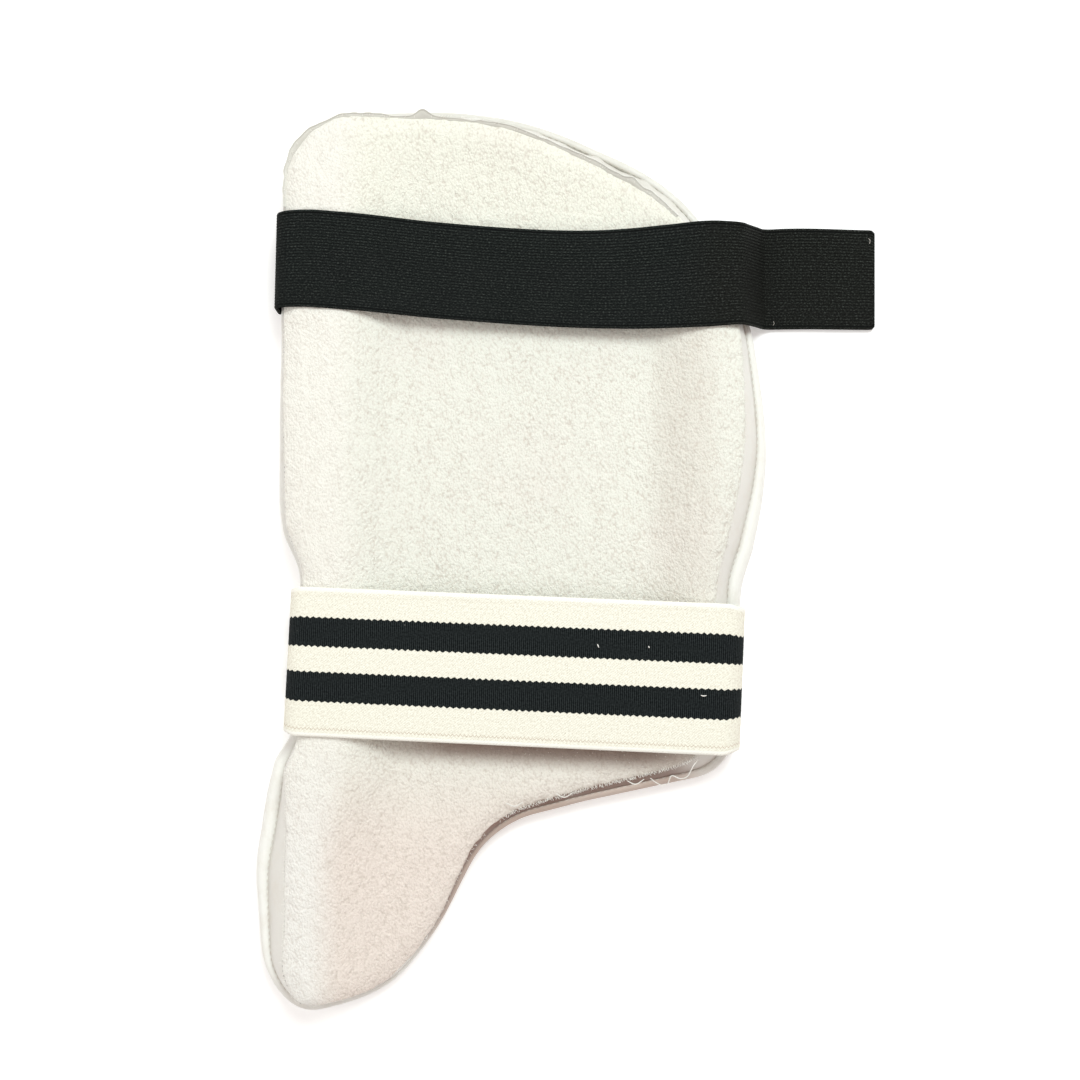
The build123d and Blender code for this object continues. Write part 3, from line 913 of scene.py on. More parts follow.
def finished_cloth(name, points, faces, material, slot, levels, detail):
    """Subdivides a part of the skin and lays its cloth's own relief on it."""
    obj = piece(name, points, faces, material, slot=slot)
    smoother = obj.modifiers.new("finer", "SUBSURF")
    smoother.levels = smoother.render_levels = levels
    smoother.boundary_smooth = "PRESERVE_CORNERS"
    with_modifiers(obj, material)
    co = places(obj.data)
    set_places(obj.data, co + facings(obj.data) * detail(co)[:, None])
    return obj


def terry(co):
    """Relief of the towelling's clumped loops."""
    brushed = co @ np.array([[0.88, 0.48, 0], [-0.26, 0.48, 0], [0, 0, 1.0]])
    clumps = lumps(brushed, 3.6 * MM, 3) * 0.20 + lumps(co, 2.1 * MM, 5) * 0.22
    waves = lumps(co, 26 * MM, 7) * 0.35
    return (clumps + waves) * MM


def hemmed(points, faces, overhang, turns):
    """Turns the highest open rim down and under through (drop, tuck) turns, as a hem."""
    edges = {(a, b) for f in faces for a, b in zip(f, f[1:] + f[:1])}
    ring = {a: b for a, b in edges if (b, a) not in edges}
    loops = []
    while ring:
        start = next(iter(ring))
        loop, here = [start], ring.pop(start)
        while here != start:
            loop.append(here)
            here = ring.pop(here)
        loops.append(loop)
    order = max(loops, key=lambda loop: points[loop][:, 2].mean())
    middle = points[order]
    along = np.roll(middle, -1, 0) - np.roll(middle, 1, 0)
    inward = np.column_stack([-along[:, 1], along[:, 0], np.zeros(len(along))])
    inward /= np.linalg.norm(inward, axis=1)[:, None]
    if (inward * (middle.mean(0) - middle)).sum() < 0:
        inward = -inward
    points = points.copy()
    points[order] -= inward * overhang
    points, faces = [*points], list(faces)
    for drop, tuck in turns:
        start = len(points)
        points += [*(middle + inward * tuck - np.array([0, 0, drop]))]
        for i in range(len(order)):
            j = (i + 1) % len(order)
            faces.append((order[j], order[i], start + i, start + j))
        order = list(range(start, len(points)))
    return np.array(points), faces


def pad_cloths(mats):
    """Lining, side wall and ribbed front, all from one puffed skin."""
    points, faces, parts = skin()
    points = under_straps(points)
    hem = [(1.3 * MM, -0.5 * MM), (2.4 * MM, 1.6 * MM)]
    top = hemmed(*part_of(points, faces, parts, "top"), 0.5 * MM, hem)
    lining = finished_cloth("lining_towelling", *top, mats["towelling"], "towelling", 2, terry)
    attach(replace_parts(lining, "lining"), "pad")

    def creased(co):
        high = smooth((co[:, 1] - 0.12) / 0.05)
        slim = np.column_stack([co[:, 0] * 2.2, co[:, 1] * 1.0, co[:, 2] * 0.4])
        return lumps(slim, 13 * MM, 11) * (0.25 + 0.8 * high) * MM

    lip = [(0.5 * MM, 1.2 * MM), (1.6 * MM, 4 * MM)]
    wall = hemmed(*part_of(points, faces, parts, "wall"), 0, lip)
    side = finished_cloth(
        "side_wall_leathercloth", *wall, mats["leathercloth"], "leathercloth", 2, creased
    )
    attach(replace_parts(side, "side_wall"), "pad")

    def leathery(co):
        return lumps(co, 30 * MM, 13) * 0.25 * MM

    front = part_of(points, faces, parts, "front")
    cover = finished_cloth(
        "front_cover_ribbed", *front, mats["leathercloth"], "leathercloth", 2, leathery
    )
    co = places(cover.data)
    co[:, 2] = np.maximum(co[:, 2], 0)
    set_places(cover.data, co)
    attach(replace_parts(cover, "front_cover"), "pad")
    return lining


def edge_roll(mats):
    """Padded roll round the edge, with its seam stitches just inside it."""
    edge = Edge(ROUND)
    width = edge.named(ROLL_WIDTH, 150) * MM
    middle = edge.ring(0, SEAM_Z)
    ripple = lumps(middle, 17 * MM, 21) * 0.35 * MM
    rings = []
    for k in range(14):
        a = 2 * math.pi * k / 14
        tall = 2.6 * MM + (width - 4.5 * MM) * 0.22
        back = width / 2 * (1 - math.cos(a)) + 0.25 * MM
        up = tall * math.sin(a) - 0.2 * MM
        rings.append(edge.ring(back + ripple * abs(math.cos(a)), SEAM_Z + up))
    points, faces = loft(np.stack(rings, axis=1), closed_along=True)
    roll = piece("edge_piping", points, faces, mats["binding"], "pad", "leathercloth")
    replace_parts(roll, "piping", "piping_core")
    lining = edge.named(LINING_SETBACK, 150) * MM
    head = edge.ring(lining, 0)
    head[:, 2] = leg_height(head[:, 0], head[:, 1]) - 2.6 * MM
    seam = edge.ring(width - 0.8 * MM, SEAM_Z + 1.6 * MM) * 0.88 + head * 0.12
    seam[:, :2] += edge.out * 0.75 * MM
    route = np.vstack([seam, seam[:1]])
    way = np.vstack([edge.out, edge.out[:1]])
    out = np.column_stack([way, np.full(len(way), 0.6)])
    sewn = stitches(route, 3.2 * MM, 1.7 * MM, 0.2 * MM, out)
    piece("edge_seam_stitches", *sewn, mats["seam_thread"], "pad", "cord")
    hem = edge.ring(lining - 0.2 * MM, 0)
    hem[:, 2] = leg_height(hem[:, 0], hem[:, 1]) - 3.4 * MM
    left = np.flatnonzero(edge.xy[:, 0] < -0.1)
    out = np.column_stack([edge.out, np.full(ROUND, 0.4)])[left]
    sewn = stitches(hem[left], 2.4 * MM, 0.9 * MM, 0.22 * MM, out)
    piece("hem_stitches", *sewn, mats["hem_thread"], "pad", "cord")


def top_welt(mats):
    """Crinkled leathercloth welt that stands out round the end away from the toe."""
    edge = Edge(ROUND)
    lining = edge.named(LINING_SETBACK, 150) * MM
    x, y = edge.xy.T / MM
    order = np.flatnonzero(y > 168)
    gaps = np.flatnonzero(np.diff(order) > 1)
    if len(gaps):
        order = np.roll(order, -int(gaps[0]) - 1)
    spots = np.column_stack([edge.xy[order], 0 * order])
    crinkle, fine = lumps(spots, 9 * MM, 71), lumps(spots, 3.4 * MM, 72)
    fade = smooth((y[order] - 168) / 10)
    stand = (0.5 + 0.9 * crinkle + 0.35 * fine) * fade
    stand += 3.2 * np.exp(-(((x[order] + 42) / 3.6) ** 2)) * (y[order] > 190)
    stand += 1.3 * np.exp(-(((x[order] - 62) / 3.0) ** 2))
    stand += 1.0 * np.exp(-(((x[order] - 92) / 3.5) ** 2))
    stand *= MM
    hem = edge.ring(lining, 0)[order]
    out = edge.out[order]
    z = leg_height(hem[:, 0], hem[:, 1])
    rings = []
    for inward, down in ((1.2, 2.4), (0.2, 2.0), (-0.5, 1.6)):
        xy = hem[:, :2] + out * (-inward * MM + stand[:, None] * (inward < 1))
        rings.append(np.column_stack([xy, z - down * MM]))
    rim = rings[-1]
    under = [rim - (0, 0, 0.5 * MM), rings[0] - (0, 0, 1.2 * MM)]
    points, faces = loft(np.stack([*rings, *under], axis=1))
    piece("top_welt", points, faces, mats["leathercloth"], "pad", "leathercloth")
    piece("top_welt_edge", *tube(rim, 0.32 * MM, 6), mats["binding"], "pad", "leathercloth")


def foam_sheets(mats):
    """The soft leg-side foam and the hard sheet inside the skin."""
    edge = Edge(250)
    lining = edge.named(LINING_SETBACK, 150) * MM
    sheets = [
        ("comfort_foam", "soft_foam", "foam", 5 * MM, 13.2 * MM, -4.2 * MM),
        ("shield_foam", "hard_foam", "hard_foam", 6 * MM, 8.2 * MM, None),
    ]
    for node, paint, slot, more, low, drop in sheets:
        rim = edge.ring(lining + more, low)
        spots, tris = filled(rim, 9 * MM)
        top = np.full(len(spots), low + 4.6 * MM)
        if drop is not None:
            top = leg_height(spots[:, 0], spots[:, 1]) + drop
        n, count = len(rim), len(spots)
        points = np.vstack(
            [np.column_stack([spots, np.full(count, low)]), np.column_stack([spots, top])]
        )
        faces = [tuple(reversed(f)) for f in tris]
        faces += [tuple(v + count for v in f) for f in tris]
        faces += [(i, (i + 1) % n, (i + 1) % n + count, i + count) for i in range(n)]
        made = piece(node + "_sheet", points, faces, mats[paint], "pad", slot)
        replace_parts(made, node)
    for number in range(1, 6):
        node = frame["nodes"][f"rib_foam_{number}"]
        node.data.materials.clear()
        node.data.materials.append(mats["soft_foam"])


# ------------------------------------------------------------------ straps
def rounded_path(corners, step):
    """Points and their distances along a path round (x, z, radius) corners given in millimetres.
    """
    pts = [np.array(c[:2], float) for c in corners]
    out = [pts[0]]
    for i in range(1, len(pts) - 1):
        a, b, c = pts[i - 1], pts[i], pts[i + 1]
        u, v = (a - b) / np.linalg.norm(a - b), (c - b) / np.linalg.norm(c - b)
        half = math.acos(np.clip(u @ v, -1, 1)) / 2
        room = 0.48 * min(np.linalg.norm(a - b), np.linalg.norm(c - b))
        cut = min(corners[i][2] / math.tan(half), room)
        radius = cut * math.tan(half)
        centre = b + (u + v) / np.linalg.norm(u + v) * radius / math.sin(half)
        p, q = b + u * cut - centre, b + v * cut - centre
        turn = math.atan2(p[0] * q[1] - p[1] * q[0], p @ q)
        for t in np.linspace(0, 1, 9):
            c_, s_ = math.cos(turn * t), math.sin(turn * t)
            out.append(centre + np.array([p[0] * c_ - p[1] * s_, p[0] * s_ + p[1] * c_]))
    out.append(pts[-1])
    out = np.array(out)
    run = np.concatenate([[0], np.cumsum(np.linalg.norm(np.diff(out, axis=0), axis=1))])
    count = max(2, int(round(run[-1] / step)) + 1)
    at = np.linspace(0, run[-1], count)
    path = np.stack([np.interp(at, run, out[:, k]) for k in range(2)], axis=1)
    return path * MM, at * MM


def ribbed_section(width, thick, ribs, depth):
    """A strap's cross-section: fine ribs on both faces and rounded selvedges."""
    v, h = [], []
    per = 4
    half = thick / 2 - depth
    edge = thick / 2
    xs = np.linspace(-1, 1, ribs * per + 1)
    for x in xs:
        v.append(x * (width / 2 - edge * 0.6))
        h.append(half + depth * abs(math.cos(math.pi * (x + 1) / 2 * ribs + math.pi / 2)))
    v.append(width / 2 - 0.15 * edge)
    h.append(half * 0.55)
    v.append(width / 2)
    h.append(0.0)
    top_v, top_h = list(v), list(h)
    bottom_v = [-x for x in top_v[:-1]] + [-top_v[-1]]
    bottom_h = [-z for z in top_h[:-1]] + [0.0]
    return np.array(top_v + bottom_v), np.array(top_h + bottom_h)


def strap(name, path, run, section, spread, material, slot, to_world, wobble=0.0):
    """A woven strap along path: spread gives its centre line's y and width share."""
    v, h = section
    along = np.gradient(path, axis=0)
    along /= np.linalg.norm(along, axis=1)[:, None]
    out = np.stack([-along[:, 1], along[:, 0]], axis=1)
    centre, share = spread(path[:, 0], run)
    rings = np.empty((len(path), len(v), 3))
    rings[:, :, 0] = path[:, 0:1] + out[:, 0:1] * h[None, :]
    rings[:, :, 1] = centre[:, None] + v[None, :] * share[:, None]
    rings[:, :, 2] = path[:, 1:2] + out[:, 1:2] * h[None, :]
    if wobble:
        flat = np.column_stack([np.repeat(run, len(v)), np.tile(v, len(run))])
        flat = np.column_stack([flat, np.zeros(len(flat))])
        rise = (lumps(flat, 30 * MM, 31) * wobble).reshape(len(path), len(v))
        rings[:, :, 2] += rise
    points, faces = loft(rings)
    points, faces = capped(points, faces, len(v))
    obj = piece(name, to_world(points), faces, material, slot=slot)
    layer = obj.data.uv_layers.new(name="weave")
    cloth = np.column_stack([np.repeat(run, len(v)), np.tile(v, len(run))])
    cloth = np.vstack([cloth, cloth[: len(v)], cloth[-len(v) :]])
    corners = np.empty(len(obj.data.loops), np.int32)
    obj.data.loops.foreach_get("vertex_index", corners)
    layer.uv.foreach_set("vector", cloth[corners].astype(np.float32).ravel())
    return obj


def sliced(path, run, low, high):
    """The stretch of a path between two distances along it, in metres."""
    keep = np.concatenate([[low], run[(run > low + 1e-5) & (run < high - 1e-5)], [high]])
    return np.stack([np.interp(keep, run, path[:, k]) for k in range(2)], axis=1), keep


def length_at(path, run, x, z):
    """How far along a path the point nearest (x, z) is."""
    return run[np.argmin(np.hypot(path[:, 0] - x, path[:, 1] - z))]


def joint(name):
    """A joint's place, in metres."""
    return Vector(next(j["pos_m"] for j in frame["joints"] if j["name"] == name))


STRAP_THICK = 1.5 * MM


def black_strap(mats):
    """The loose black elastic, drawn in three pieces along one path bent at its three fold lines.
    """
    anchor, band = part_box("black_strap_anchor"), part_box("black_strap_band")
    drop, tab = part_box("black_strap_drop"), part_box("black_strap_tab")
    half = STRAP_THICK / 2
    swing, lift, fold = (
        joint(n) for n in ("black_band_swing", "black_end_lift", "black_tab_fold")
    )
    left, top = (anchor[0].x + half) / MM, (anchor[1].z - half) / MM
    low = (anchor[0].z + half) / MM
    sag, floor = (band[0].z + half) / MM, (tab[0].z + half) / MM
    crest, tip = (lift.x / MM) + 2.2, tab[1].x - 0.8 * MM
    corners = [
        (left + 26, low + 0.6, 0),
        (left + 5, low + 3.6, 5),
        (left + 0.3, low + 3.4, 2.2),
        (left + 3.4, top, 7),
        (-92, top + 0.1, 30),
        (-74, top - 0.9, 40),
        (-40, sag + 1.0, 60),
        (12, sag + 0.1, 90),
        (60, sag + 1.1, 60),
        (88, top - 0.5, 45),
        (crest, top + 0.3, 7),
        (crest + 8.4, 12, 12),
        (crest + 12.6, floor, 7),
        (tip / MM, floor, 0),
    ]
    path, run = rounded_path(corners, 1.3)

    def spread(x, _):
        centre = between(
            x / MM,
            [(-118, 142.4), (-100, 143.2), (-78, 141.8), (-36, 137.5), (0, 134.4),
             (40, 132.4), (75, 133.1), (95, 134.0), (112, 134.2), (124, 134.9), (176, 134.2)],
        )  # fmt: skip
        share = between(
            x / MM,
            [(-118, 0.975), (-95, 0.99), (-60, 0.985), (0, 0.975), (40, 0.99),
             (75, 1.04), (95, 1.06), (112, 1.02), (124, 1.035), (176, 1.025)],
        )  # fmt: skip
        corner = np.clip((x - tip + 2.4 * MM) / (2.4 * MM), 0, 1)
        return centre * MM, share * (1 - 0.06 * (1 - np.sqrt(1 - corner**2)))

    def world(p):
        near_left = smooth((-85 - p[:, 0] / MM) / 20)
        p = p.copy()
        p[:, 0] += near_left * (0.6 * MM + 0.026 * (p[:, 1] - 142 * MM))
        return p

    section = ribbed_section(BLACK_WIDTH, STRAP_THICK, BLACK_RIBS, 0.2 * MM)
    splits = [
        0,
        length_at(path, run, 0.0, sag * MM),
        length_at(path, run, (crest + 6) * MM, 18 * MM),
        run[-1],
    ]
    names = ["black_strap_root", "black_strap_crossing", "black_strap_end"]
    joins = [
        ("pad", "black_band", swing, (-3.2, -2.8), (3.2, 2.8)),
        ("black_band", "black_end", lift, (-4.0, 0), (4.0, 0)),
        ("black_end", "black_tab", fold, (-3.4, 0), (3.4, 0)),
    ]
    nodes = [["black_strap_anchor"], ["black_strap_band"], ["black_strap_drop", "black_strap_tab"]]
    for k, (name, (a, b, at, before, after)) in enumerate(zip(names, joins)):
        part, length = sliced(path, run, splits[k], splits[k + 1])
        obj = strap(
            name, part, length, section, spread, mats["black"], "black_elastic", world, 0.25 * MM
        )
        start = Vector((at.x + before[0] * MM, at.y, at.z + before[1] * MM))
        end = Vector((at.x + after[0] * MM, at.y, at.z + after[1] * MM))
        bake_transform(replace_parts(obj, *nodes[k]))


def striped_strap(mats):
    """The tight striped elastic, drawn in three pieces: its crossing, its wrap round the edge and
    its closing tab.
    """
    whole, run_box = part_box("striped_strap"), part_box("striped_strap_front")
    half = STRAP_THICK / 2
    turned = math.cos(STRIPED_TURN), math.sin(STRIPED_TURN)
    left, right = PINCH[0] / MM - 1.3, PINCH[1] / MM + 1.5
    top, low = (whole[1].z - half) / MM, (run_box[0].z + half) / MM
    under = 3.7
    tab_end = run_box[0].x / MM - STRIPED_TAB - 2.4
    corners = [
        (left + 28, low + 0.9, 0),
        (left + 1.4, under, 2.5),
        (left + 0.6, top - 0.1, 8),
        (-60, top + 0.15, 120),
        (60, top + 0.15, 120),
        (right - 0.6, top - 0.1, 9),
        (right - 1.4, under, 2.5),
        (74, low, 20),
        (tab_end, low, 0),
    ]
    path, run = rounded_path(corners, 1.3)

    def spread(x, length):
        gather = smooth((x / MM - right + 9) / 9) + smooth((left + 7 - x / MM) / 7) * 0.7
        return np.zeros(len(x)), 1.012 - 0.06 * gather

    def world(p):
        c, s = turned
        p = p.copy()
        p[:, 0] += smooth((-80 - p[:, 0] / MM) / 20) * LEAN * p[:, 1]
        return np.column_stack(
            [p[:, 0] * c - p[:, 1] * s, STRIPED_Y + p[:, 0] * s + p[:, 1] * c, p[:, 2]]
        )

    section = ribbed_section(70.6 * MM, STRAP_THICK, 20, 0.05 * MM)
    middle = length_at(path, run, 0.045, low * MM)
    splits = [0, length_at(path, run, (right - 12) * MM, top * MM), middle, run[-1]]
    names = ["striped_strap_crossing", "striped_strap_wrap", "striped_strap_closing"]
    for k, name in enumerate(names):
        part, length = sliced(path, run, splits[k], splits[k + 1])
        obj = strap(
            name,
            part,
            length,
            section,
            spread,
            mats["striped"],
            "striped_elastic",
            world,
            0.08 * MM,
        )
        if k == 0:
            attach(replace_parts(obj, "striped_strap"), "pad")
        elif k == 1:
            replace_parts(obj, "striped_strap_front")
            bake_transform(obj)
        else:
            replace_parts(obj, "striped_strap_tab")
            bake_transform(obj)


def fastener_patch(node, body, turn, faces_down, hooked, mats):
    """A sewn hook or loop patch, with its hooks or its nap as real relief."""
    low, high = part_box(node)
    middle = (low + high) / 2
    c, s = math.cos(turn), math.sin(turn)
    wide, deep = high.x - low.x, high.y - low.y
    if turn:
        wide, deep = (
            (wide * c - abs(s) * deep) / (c * c - s * s),
            (deep * c - abs(s) * wide) / (c * c - s * s),
        )
    sloped = node == "black_loop_patch"
    tilt = math.atan(BEVEL_RISE / BEVEL_RUN) if sloped else 0.0
    thick = 1.2 * MM
    nx, ny = int(wide / (0.9 * MM)), int(deep / (0.9 * MM))
    us = np.linspace(-0.5, 0.5, nx) * wide
    vs = np.linspace(-0.5, 0.5, ny) * deep
    u, v = np.meshgrid(us, vs, indexing="ij")
    rim = np.minimum(wide / 2 - np.abs(u), deep / 2 - np.abs(v))
    round_off = smooth(rim / (1.2 * MM))
    spots = np.column_stack([u.ravel(), v.ravel(), u.ravel() * 0])
    nap = lumps(spots, 1.6 * MM, 41).reshape(u.shape)
    height = thick * (0.30 if hooked else 0.55) * (0.35 + 0.65 * round_off)
    if not hooked:
        height = height + nap * 0.16 * MM * round_off
    sign = -1 if faces_down else 1
    base = 0.5 * thick * -sign
    outer = np.stack([u, v, base + sign * height], axis=2).reshape(-1, 3)
    inner = np.stack([u, v, np.full(u.shape, base)], axis=2).reshape(-1, 3)
    count = nx * ny
    faces = []
    for i in range(nx - 1):
        for j in range(ny - 1):
            a = i * ny + j
            quad = (a, a + ny, a + ny + 1, a + 1)
            faces += [quad, tuple(q + count for q in reversed(quad))]
    border = [i * ny for i in range(nx)] + [(nx - 1) * ny + j for j in range(1, ny)]
    border += [i * ny + ny - 1 for i in range(nx - 2, -1, -1)] + list(range(ny - 2, 0, -1))
    for a, b in zip(border, border[1:] + border[:1]):
        faces.append((b, a, a + count, b + count))
    if faces_down:
        faces = [tuple(reversed(f)) for f in faces]
    parts = [(np.vstack([outer, inner]), faces)]
    if hooked:
        for i, x in enumerate(np.arange(-wide / 2 + 2.2 * MM, wide / 2 - 2 * MM, 1.7 * MM)):
            first = -deep / 2 + 2.4 * MM + (i % 2) * 0.8 * MM
            for y in np.arange(first, deep / 2 - 2 * MM, 1.6 * MM):
                t = np.linspace(0, 1, 4)
                bend = np.column_stack(
                    [
                        x + 0.45 * MM * t**3,
                        np.full(4, y),
                        base + sign * (0.3 + 0.62 * np.sin(t * 2.0)) * thick,
                    ]
                )
                parts.append(tube(bend, 0.14 * MM, 4, 0.9))
    points, faces = joined(parts)
    seam = cad_outline()

    def placed(points):
        x = points[:, 0] * math.cos(tilt) - points[:, 2] * math.sin(tilt)
        z = points[:, 0] * math.sin(tilt) + points[:, 2] * math.cos(tilt)
        y = points[:, 1]
        at = np.column_stack([middle.x + x * c - y * s, middle.y + x * s + y * c, middle.z + z])
        if sloped:
            side = seam[seam[:, 0] > 0]
            side = side[np.argsort(side[:, 1])]
            reach = np.interp(at[:, 1], side[:, 1], side[:, 0]) - 5 * MM
            past = np.maximum(at[:, 0] - reach, 0) * (at[:, 1] > middle.y)
            at[:, 0] -= past
            at[:, 2] -= past * math.tan(tilt)
        return at

    at = placed(points)
    paint, slot = ("hooks", "hook_tape") if hooked else ("loops", "loop_tape")
    obj = piece(node + "_tape", at, faces, mats[paint], body, slot)
    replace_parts(obj, node)
    frame_line = [(-1, -1), (1, -1), (1, 1), (-1, 1), (-1, -1)]
    sew = []
    for (ax, ay), (bx, by) in zip(frame_line, frame_line[1:]):
        t = np.linspace(0, 1, 40)[:, None]
        leg = np.array([[ax, ay]]) * (1 - t) + np.array([[bx, by]]) * t
        sew.append(leg * (wide / 2 - 1.5 * MM, deep / 2 - 1.5 * MM))
    sew = np.vstack(sew)
    rise = base + sign * thick * (0.32 if hooked else 0.5)
    route = placed(np.column_stack([sew, np.full(len(sew), rise)]))
    sewn = stitches(route, 2.6 * MM, 1.9 * MM, 0.2 * MM, (0, 0, sign))
    piece(node + "_stitches", *sewn, mats["dark_thread" if hooked else "thread"], body, "cord")


# ------------------------------------------------------------ small details
def groove_stitches(mats):
    """Rows of stitches along the four sewn channels of the front."""
    edge = Edge(500)
    rows = []
    for gx in GROOVE_XS:
        near = edge.xy[np.abs(edge.xy[:, 0] - gx) < 2 * MM]
        low, high = near[:, 1].min() + 12 * MM, near[:, 1].max() - 12 * MM
        ys = np.arange(low, high, 2 * MM)
        route = np.column_stack([np.full(len(ys), gx), ys, front_height(np.full(len(ys), gx), ys)])
        _, across = striped_axes(route)
        for part in (route[across < -37 * MM], route[across > 37 * MM]):
            if len(part) > 4:
                rows.append(stitches(part, 3.4 * MM, 2.4 * MM, 0.26 * MM, (0, 0, -1)))
    piece("front_channel_stitches", *joined(rows), mats["thread"], "pad", "cord")


def wandering(route):
    """A smooth line through a few points given in millimetres."""
    pts = np.array(route, float) * MM
    t = np.linspace(0, len(pts) - 1, len(pts) * 5)
    knots = np.arange(len(pts))
    return np.stack([between(t, list(zip(knots, pts[:, k]))) for k in range(3)], axis=1)


def loose_threads(mats):
    """Ends of thread at the lining's lower right edge, and lint on the straps."""
    ends = [
        [(89.5, -95.0, 24), (87, -98.5, 24.5), (84.5, -103.2, 23.5), (81, -104.5, 22),
         (77, -103.2, 22), (75.2, -107.2, 20), (72.6, -108.2, 19),
         (69.6, -106.8, 20), (67.0, -104.6, 21)],
        [(64, -105, 22), (60, -107.6, 20.5), (56, -106.2, 20)],
        [(30, -112.0, 20.5), (26, -114.4, 19), (22, -112.6, 20)],
        [(6, -117.0, 19.5), (2, -119.0, 18.5), (-2, -117.4, 19.5)],
    ]  # fmt: skip
    parts = [tube(wandering(route), 0.26 * MM, 6, 0.7) for route in ends]
    piece("loose_threads", *joined(parts), mats["thread"], "pad", "cord")
    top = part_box("striped_strap")[1].z / MM + 0.25
    lint = [
        [(42.0, -40.4, top), (42.4, -41.2, top + 0.2), (42.7, -42.0, top)],
        [(66.0, -41.2, top), (66.3, -41.7, top + 0.1), (66.4, -42.1, top)],
        [(90.6, -64.2, top), (91.8, -64.5, top + 0.2), (93.2, -64.3, top)],
    ]
    parts = [tube(wandering(route), 0.28 * MM, 6, 0.5) for route in lint]
    piece("lint_on_striped_strap", *joined(parts), mats["thread"], "pad", "cord")
    tab = [[(126.4, 112.6, 3.1), (126.8, 113.5, 3.3), (126.6, 114.5, 3.1)]]
    tab += [[(172.0, 154.2, 3.1), (172.8, 153.2, 3.25), (172.5, 151.6, 3.1)]]
    parts = [tube(wandering(route), 0.1 * MM, 6, 0.6) for route in tab]
    piece("lint_on_tab", *joined(parts), mats["seam_thread"], "black_tab", "cord")


def fibre(foot, way, curl, length, radius):
    """A short curled fibre that leaves foot along way and bends towards curl."""
    t = np.linspace(0, 1, 4)[:, None]
    line = foot + way * length * t + curl * length * 0.6 * t * t
    side = np.cross(way, (0.3, 0.2, 0.93))
    side /= np.linalg.norm(side) + 1e-9
    lift = np.cross(side, way)
    rings = []
    for k in range(3):
        a = 2 * math.pi * k / 3
        rings.append(line + (side * math.cos(a) + lift * math.sin(a)) * radius)
    return loft(np.stack(rings, axis=1))


def terry_fibres(mats, lining_cloth):
    """Fraying along the lining's hem and loops that stand out of its pile."""
    edge = Edge(ROUND)
    lining = edge.named(LINING_SETBACK, 150) * MM
    hem = edge.ring(lining - 0.3 * MM, 0)
    hem[:, 2] = leg_height(hem[:, 0], hem[:, 1]) - 1.6 * MM
    picks = np.arange(6 * ROUND)
    dice = lattice(np.stack([picks, picks * 0, picks * 0], axis=1), 51)
    more = lattice(np.stack([picks, picks * 0 + 1, picks * 0], axis=1), 52)
    turn = lattice(np.stack([picks, picks * 0 + 2, picks * 0], axis=1), 53)
    parts = []
    for k in picks:
        i = k % ROUND
        x, y = hem[i, :2] / MM
        frayed = -124 < y < -88 and -20 < x < 96
        if dice[k] < -0.3 or not frayed and (k >= ROUND or dice[k] < 0.1):
            continue
        _, v = striped_axes(hem[i : i + 1])
        if abs(v[0]) < 36 * MM or abs(y - 136) < 26:
            continue
        length = (0.9 + 0.5 * dice[k] + (0.5 if frayed else 0)) * MM
        slant = np.array([edge.out[i][1], -edge.out[i][0]]) * more[k] * 0.9
        way = np.array([*(edge.out[i] + slant), 0.35 + 0.45 * turn[k]])
        curl = np.array([edge.out[i][1], -edge.out[i][0], 0]) * turn[k] - (0, 0, 0.5)
        foot = hem[i] + np.array([0, 0, 0.9 * MM * turn[k]])
        foot[:2] -= edge.out[i] * 0.8 * MM * (0.5 + 0.5 * more[k - 7])
        parts.append(fibre(foot, way / np.linalg.norm(way), curl, length, 0.11 * MM))
    piece("frayed_hem", *joined(parts), mats["fibres"], "pad", "towelling")
    co, out = places(lining_cloth.data), facings(lining_cloth.data)
    _, v = striped_axes(co)
    shown = (np.abs(v) > 37 * MM) & (np.abs(co[:, 1] - 0.136) > 26 * MM) & (out[:, 2] > 0.6)
    index = np.arange(len(co))
    cells = np.stack([index, index * 0, index * 0], axis=1)
    pick = np.flatnonzero(shown & (lattice(cells, 61) > 0.74))[:6500]
    angle = lattice(cells, 62)[pick] * math.pi
    size = 0.75 + 0.35 * lattice(cells, 63)[pick]
    parts = []
    for i, a, k in zip(pick, angle, size):
        way = np.array([math.cos(a), math.sin(a), 0.0])
        way = way - out[i] * (way @ out[i])
        foot = co[i] - out[i] * 0.12 * MM
        parts.append(fibre(foot, way * 0.75 + out[i] * 0.5, -out[i], k * 1.3 * MM, 0.13 * MM))
    piece("standing_loops", *joined(parts), mats["fibres"], "pad", "towelling")


# ------------------------------------------------------------- studio set
AIM = Vector((13.6, 8.7, 9.0)) * MM
STAND = Vector((50.0, 0.0, 800.0)) * MM
VIEW_WIDTH = 523.8 * MM  # what the frame spans at the seam's height


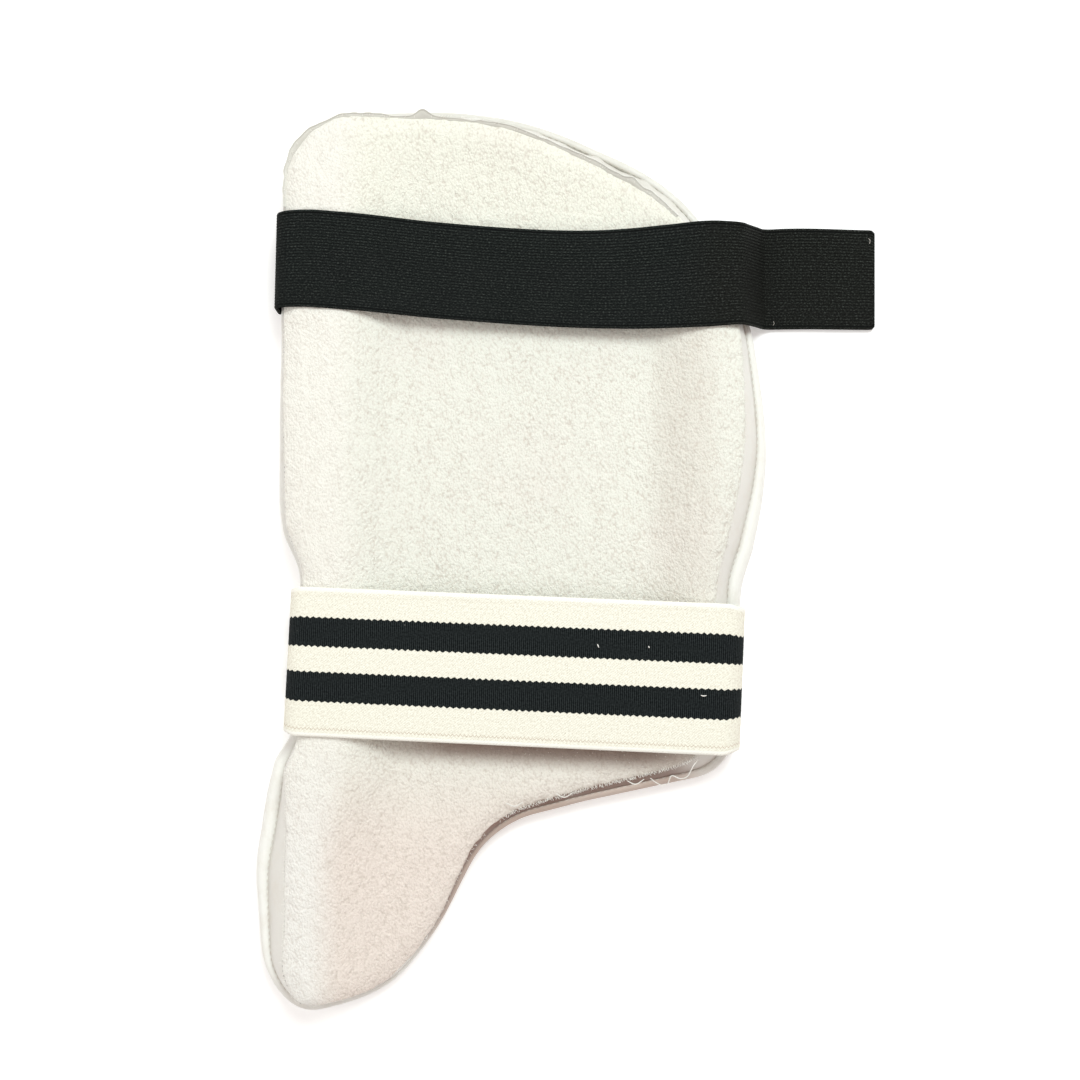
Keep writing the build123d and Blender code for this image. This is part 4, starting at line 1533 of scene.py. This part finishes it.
def studio():
    """Pale floor, soft lights from above and the camera over the pad."""
    size = 3.0
    corners = [(-size, -size, 0), (size, -size, 0), (size, size, 0), (-size, size, 0)]
    floor = piece("floor", [(x, y, -0.0001) for x, y, _ in corners], [(0, 1, 2, 3)], pale_floor())
    lights = [
        ("key", (0.45, 0.85, 1.3), 0.7, 21.0, (0.835, 0.925, 0.925)),
        ("fill", (-0.75, -0.2, 1.2), 1.2, 7.2, (0.835, 0.925, 0.925)),
    ]
    for name, place, side, power, colour in lights:
        lamp = bpy.data.lights.new(name, "AREA")
        lamp.size, lamp.energy, lamp.color = side, power, colour
        obj = bpy.data.objects.new(name, lamp)
        obj.location = place
        obj.rotation_euler = (-Vector(place)).to_track_quat("-Z", "Y").to_euler()
        bpy.context.scene.collection.objects.link(obj)
    world = bpy.data.worlds.new("studio")
    world.use_nodes = True
    world.node_tree.nodes["Background"].inputs[0].default_value = (1, 0.84, 0.785, 1)
    world.node_tree.nodes["Background"].inputs[1].default_value = 0.48
    bpy.context.scene.world = world
    bpy.context.scene.view_settings.view_transform = "Standard"
    camera = bpy.data.objects.new("camera", bpy.data.cameras.new("camera"))
    camera.location = AIM + STAND
    back = STAND.normalized()
    right = Vector((0, 1, 0)).cross(back).normalized()
    turn = Matrix((right, back.cross(right), back)).transposed()
    camera.rotation_euler = turn.to_euler()
    camera.data.lens = 36 * STAND.length / VIEW_WIDTH
    bpy.context.scene.collection.objects.link(camera)
    bpy.context.scene.camera = camera


def main():
    mats = {
        "towelling": towelling(),
        # The third colour of each leathercloth is its painted shade for the crotch.
        "leathercloth": leathercloth(
            "leathercloth", (0.755, 0.74, 0.69), (0.80, 0.785, 0.74), (0.23, 0.145, 0.115), 0.35
        ),
        "binding": leathercloth(
            "binding", (0.83, 0.825, 0.775), (0.89, 0.885, 0.85), (0.52, 0.41, 0.35), 0.5
        ),
        "seam_thread": sewing_thread("seam_thread", (0.60, 0.56, 0.50), (0.78, 0.74, 0.68)),
        "hem_thread": sewing_thread("hem_thread", (0.30, 0.29, 0.28), (0.50, 0.48, 0.46)),
        "fibres": sewing_thread("cotton_fibres", (0.86, 0.83, 0.76), (0.97, 0.96, 0.92)),
        "black": black_elastic(),
        "striped": striped_elastic(),
        "thread": sewing_thread("sewing_thread", (0.80, 0.78, 0.72), (0.92, 0.91, 0.87)),
        "dark_thread": sewing_thread(
            "dark_thread", (0.02, 0.022, 0.021), (0.055, 0.057, 0.055), sheen=0.0
        ),
        "hooks": hook_tape(),
        "loops": loop_tape(),
        "soft_foam": foam("soft_foam", (0.62, 0.60, 0.55), (0.82, 0.80, 0.75)),
        "hard_foam": foam("hard_foam", (0.05, 0.055, 0.06), (0.12, 0.125, 0.13)),
    }
    studio()
    lining_cloth = pad_cloths(mats)
    edge_roll(mats)
    top_welt(mats)
    foam_sheets(mats)
    black_strap(mats)
    striped_strap(mats)
    fastener_patch("black_hook_patch", "black_tab", 0, True, True, mats)
    fastener_patch("black_loop_patch", "pad", 0, True, False, mats)
    fastener_patch("striped_hook_patch", "striped_tab", STRIPED_TURN, False, True, mats)
    fastener_patch("striped_loop_patch", "pad", STRIPED_TURN, True, False, mats)
    groove_stitches(mats)
    loose_threads(mats)
    terry_fibres(mats, lining_cloth)


main()
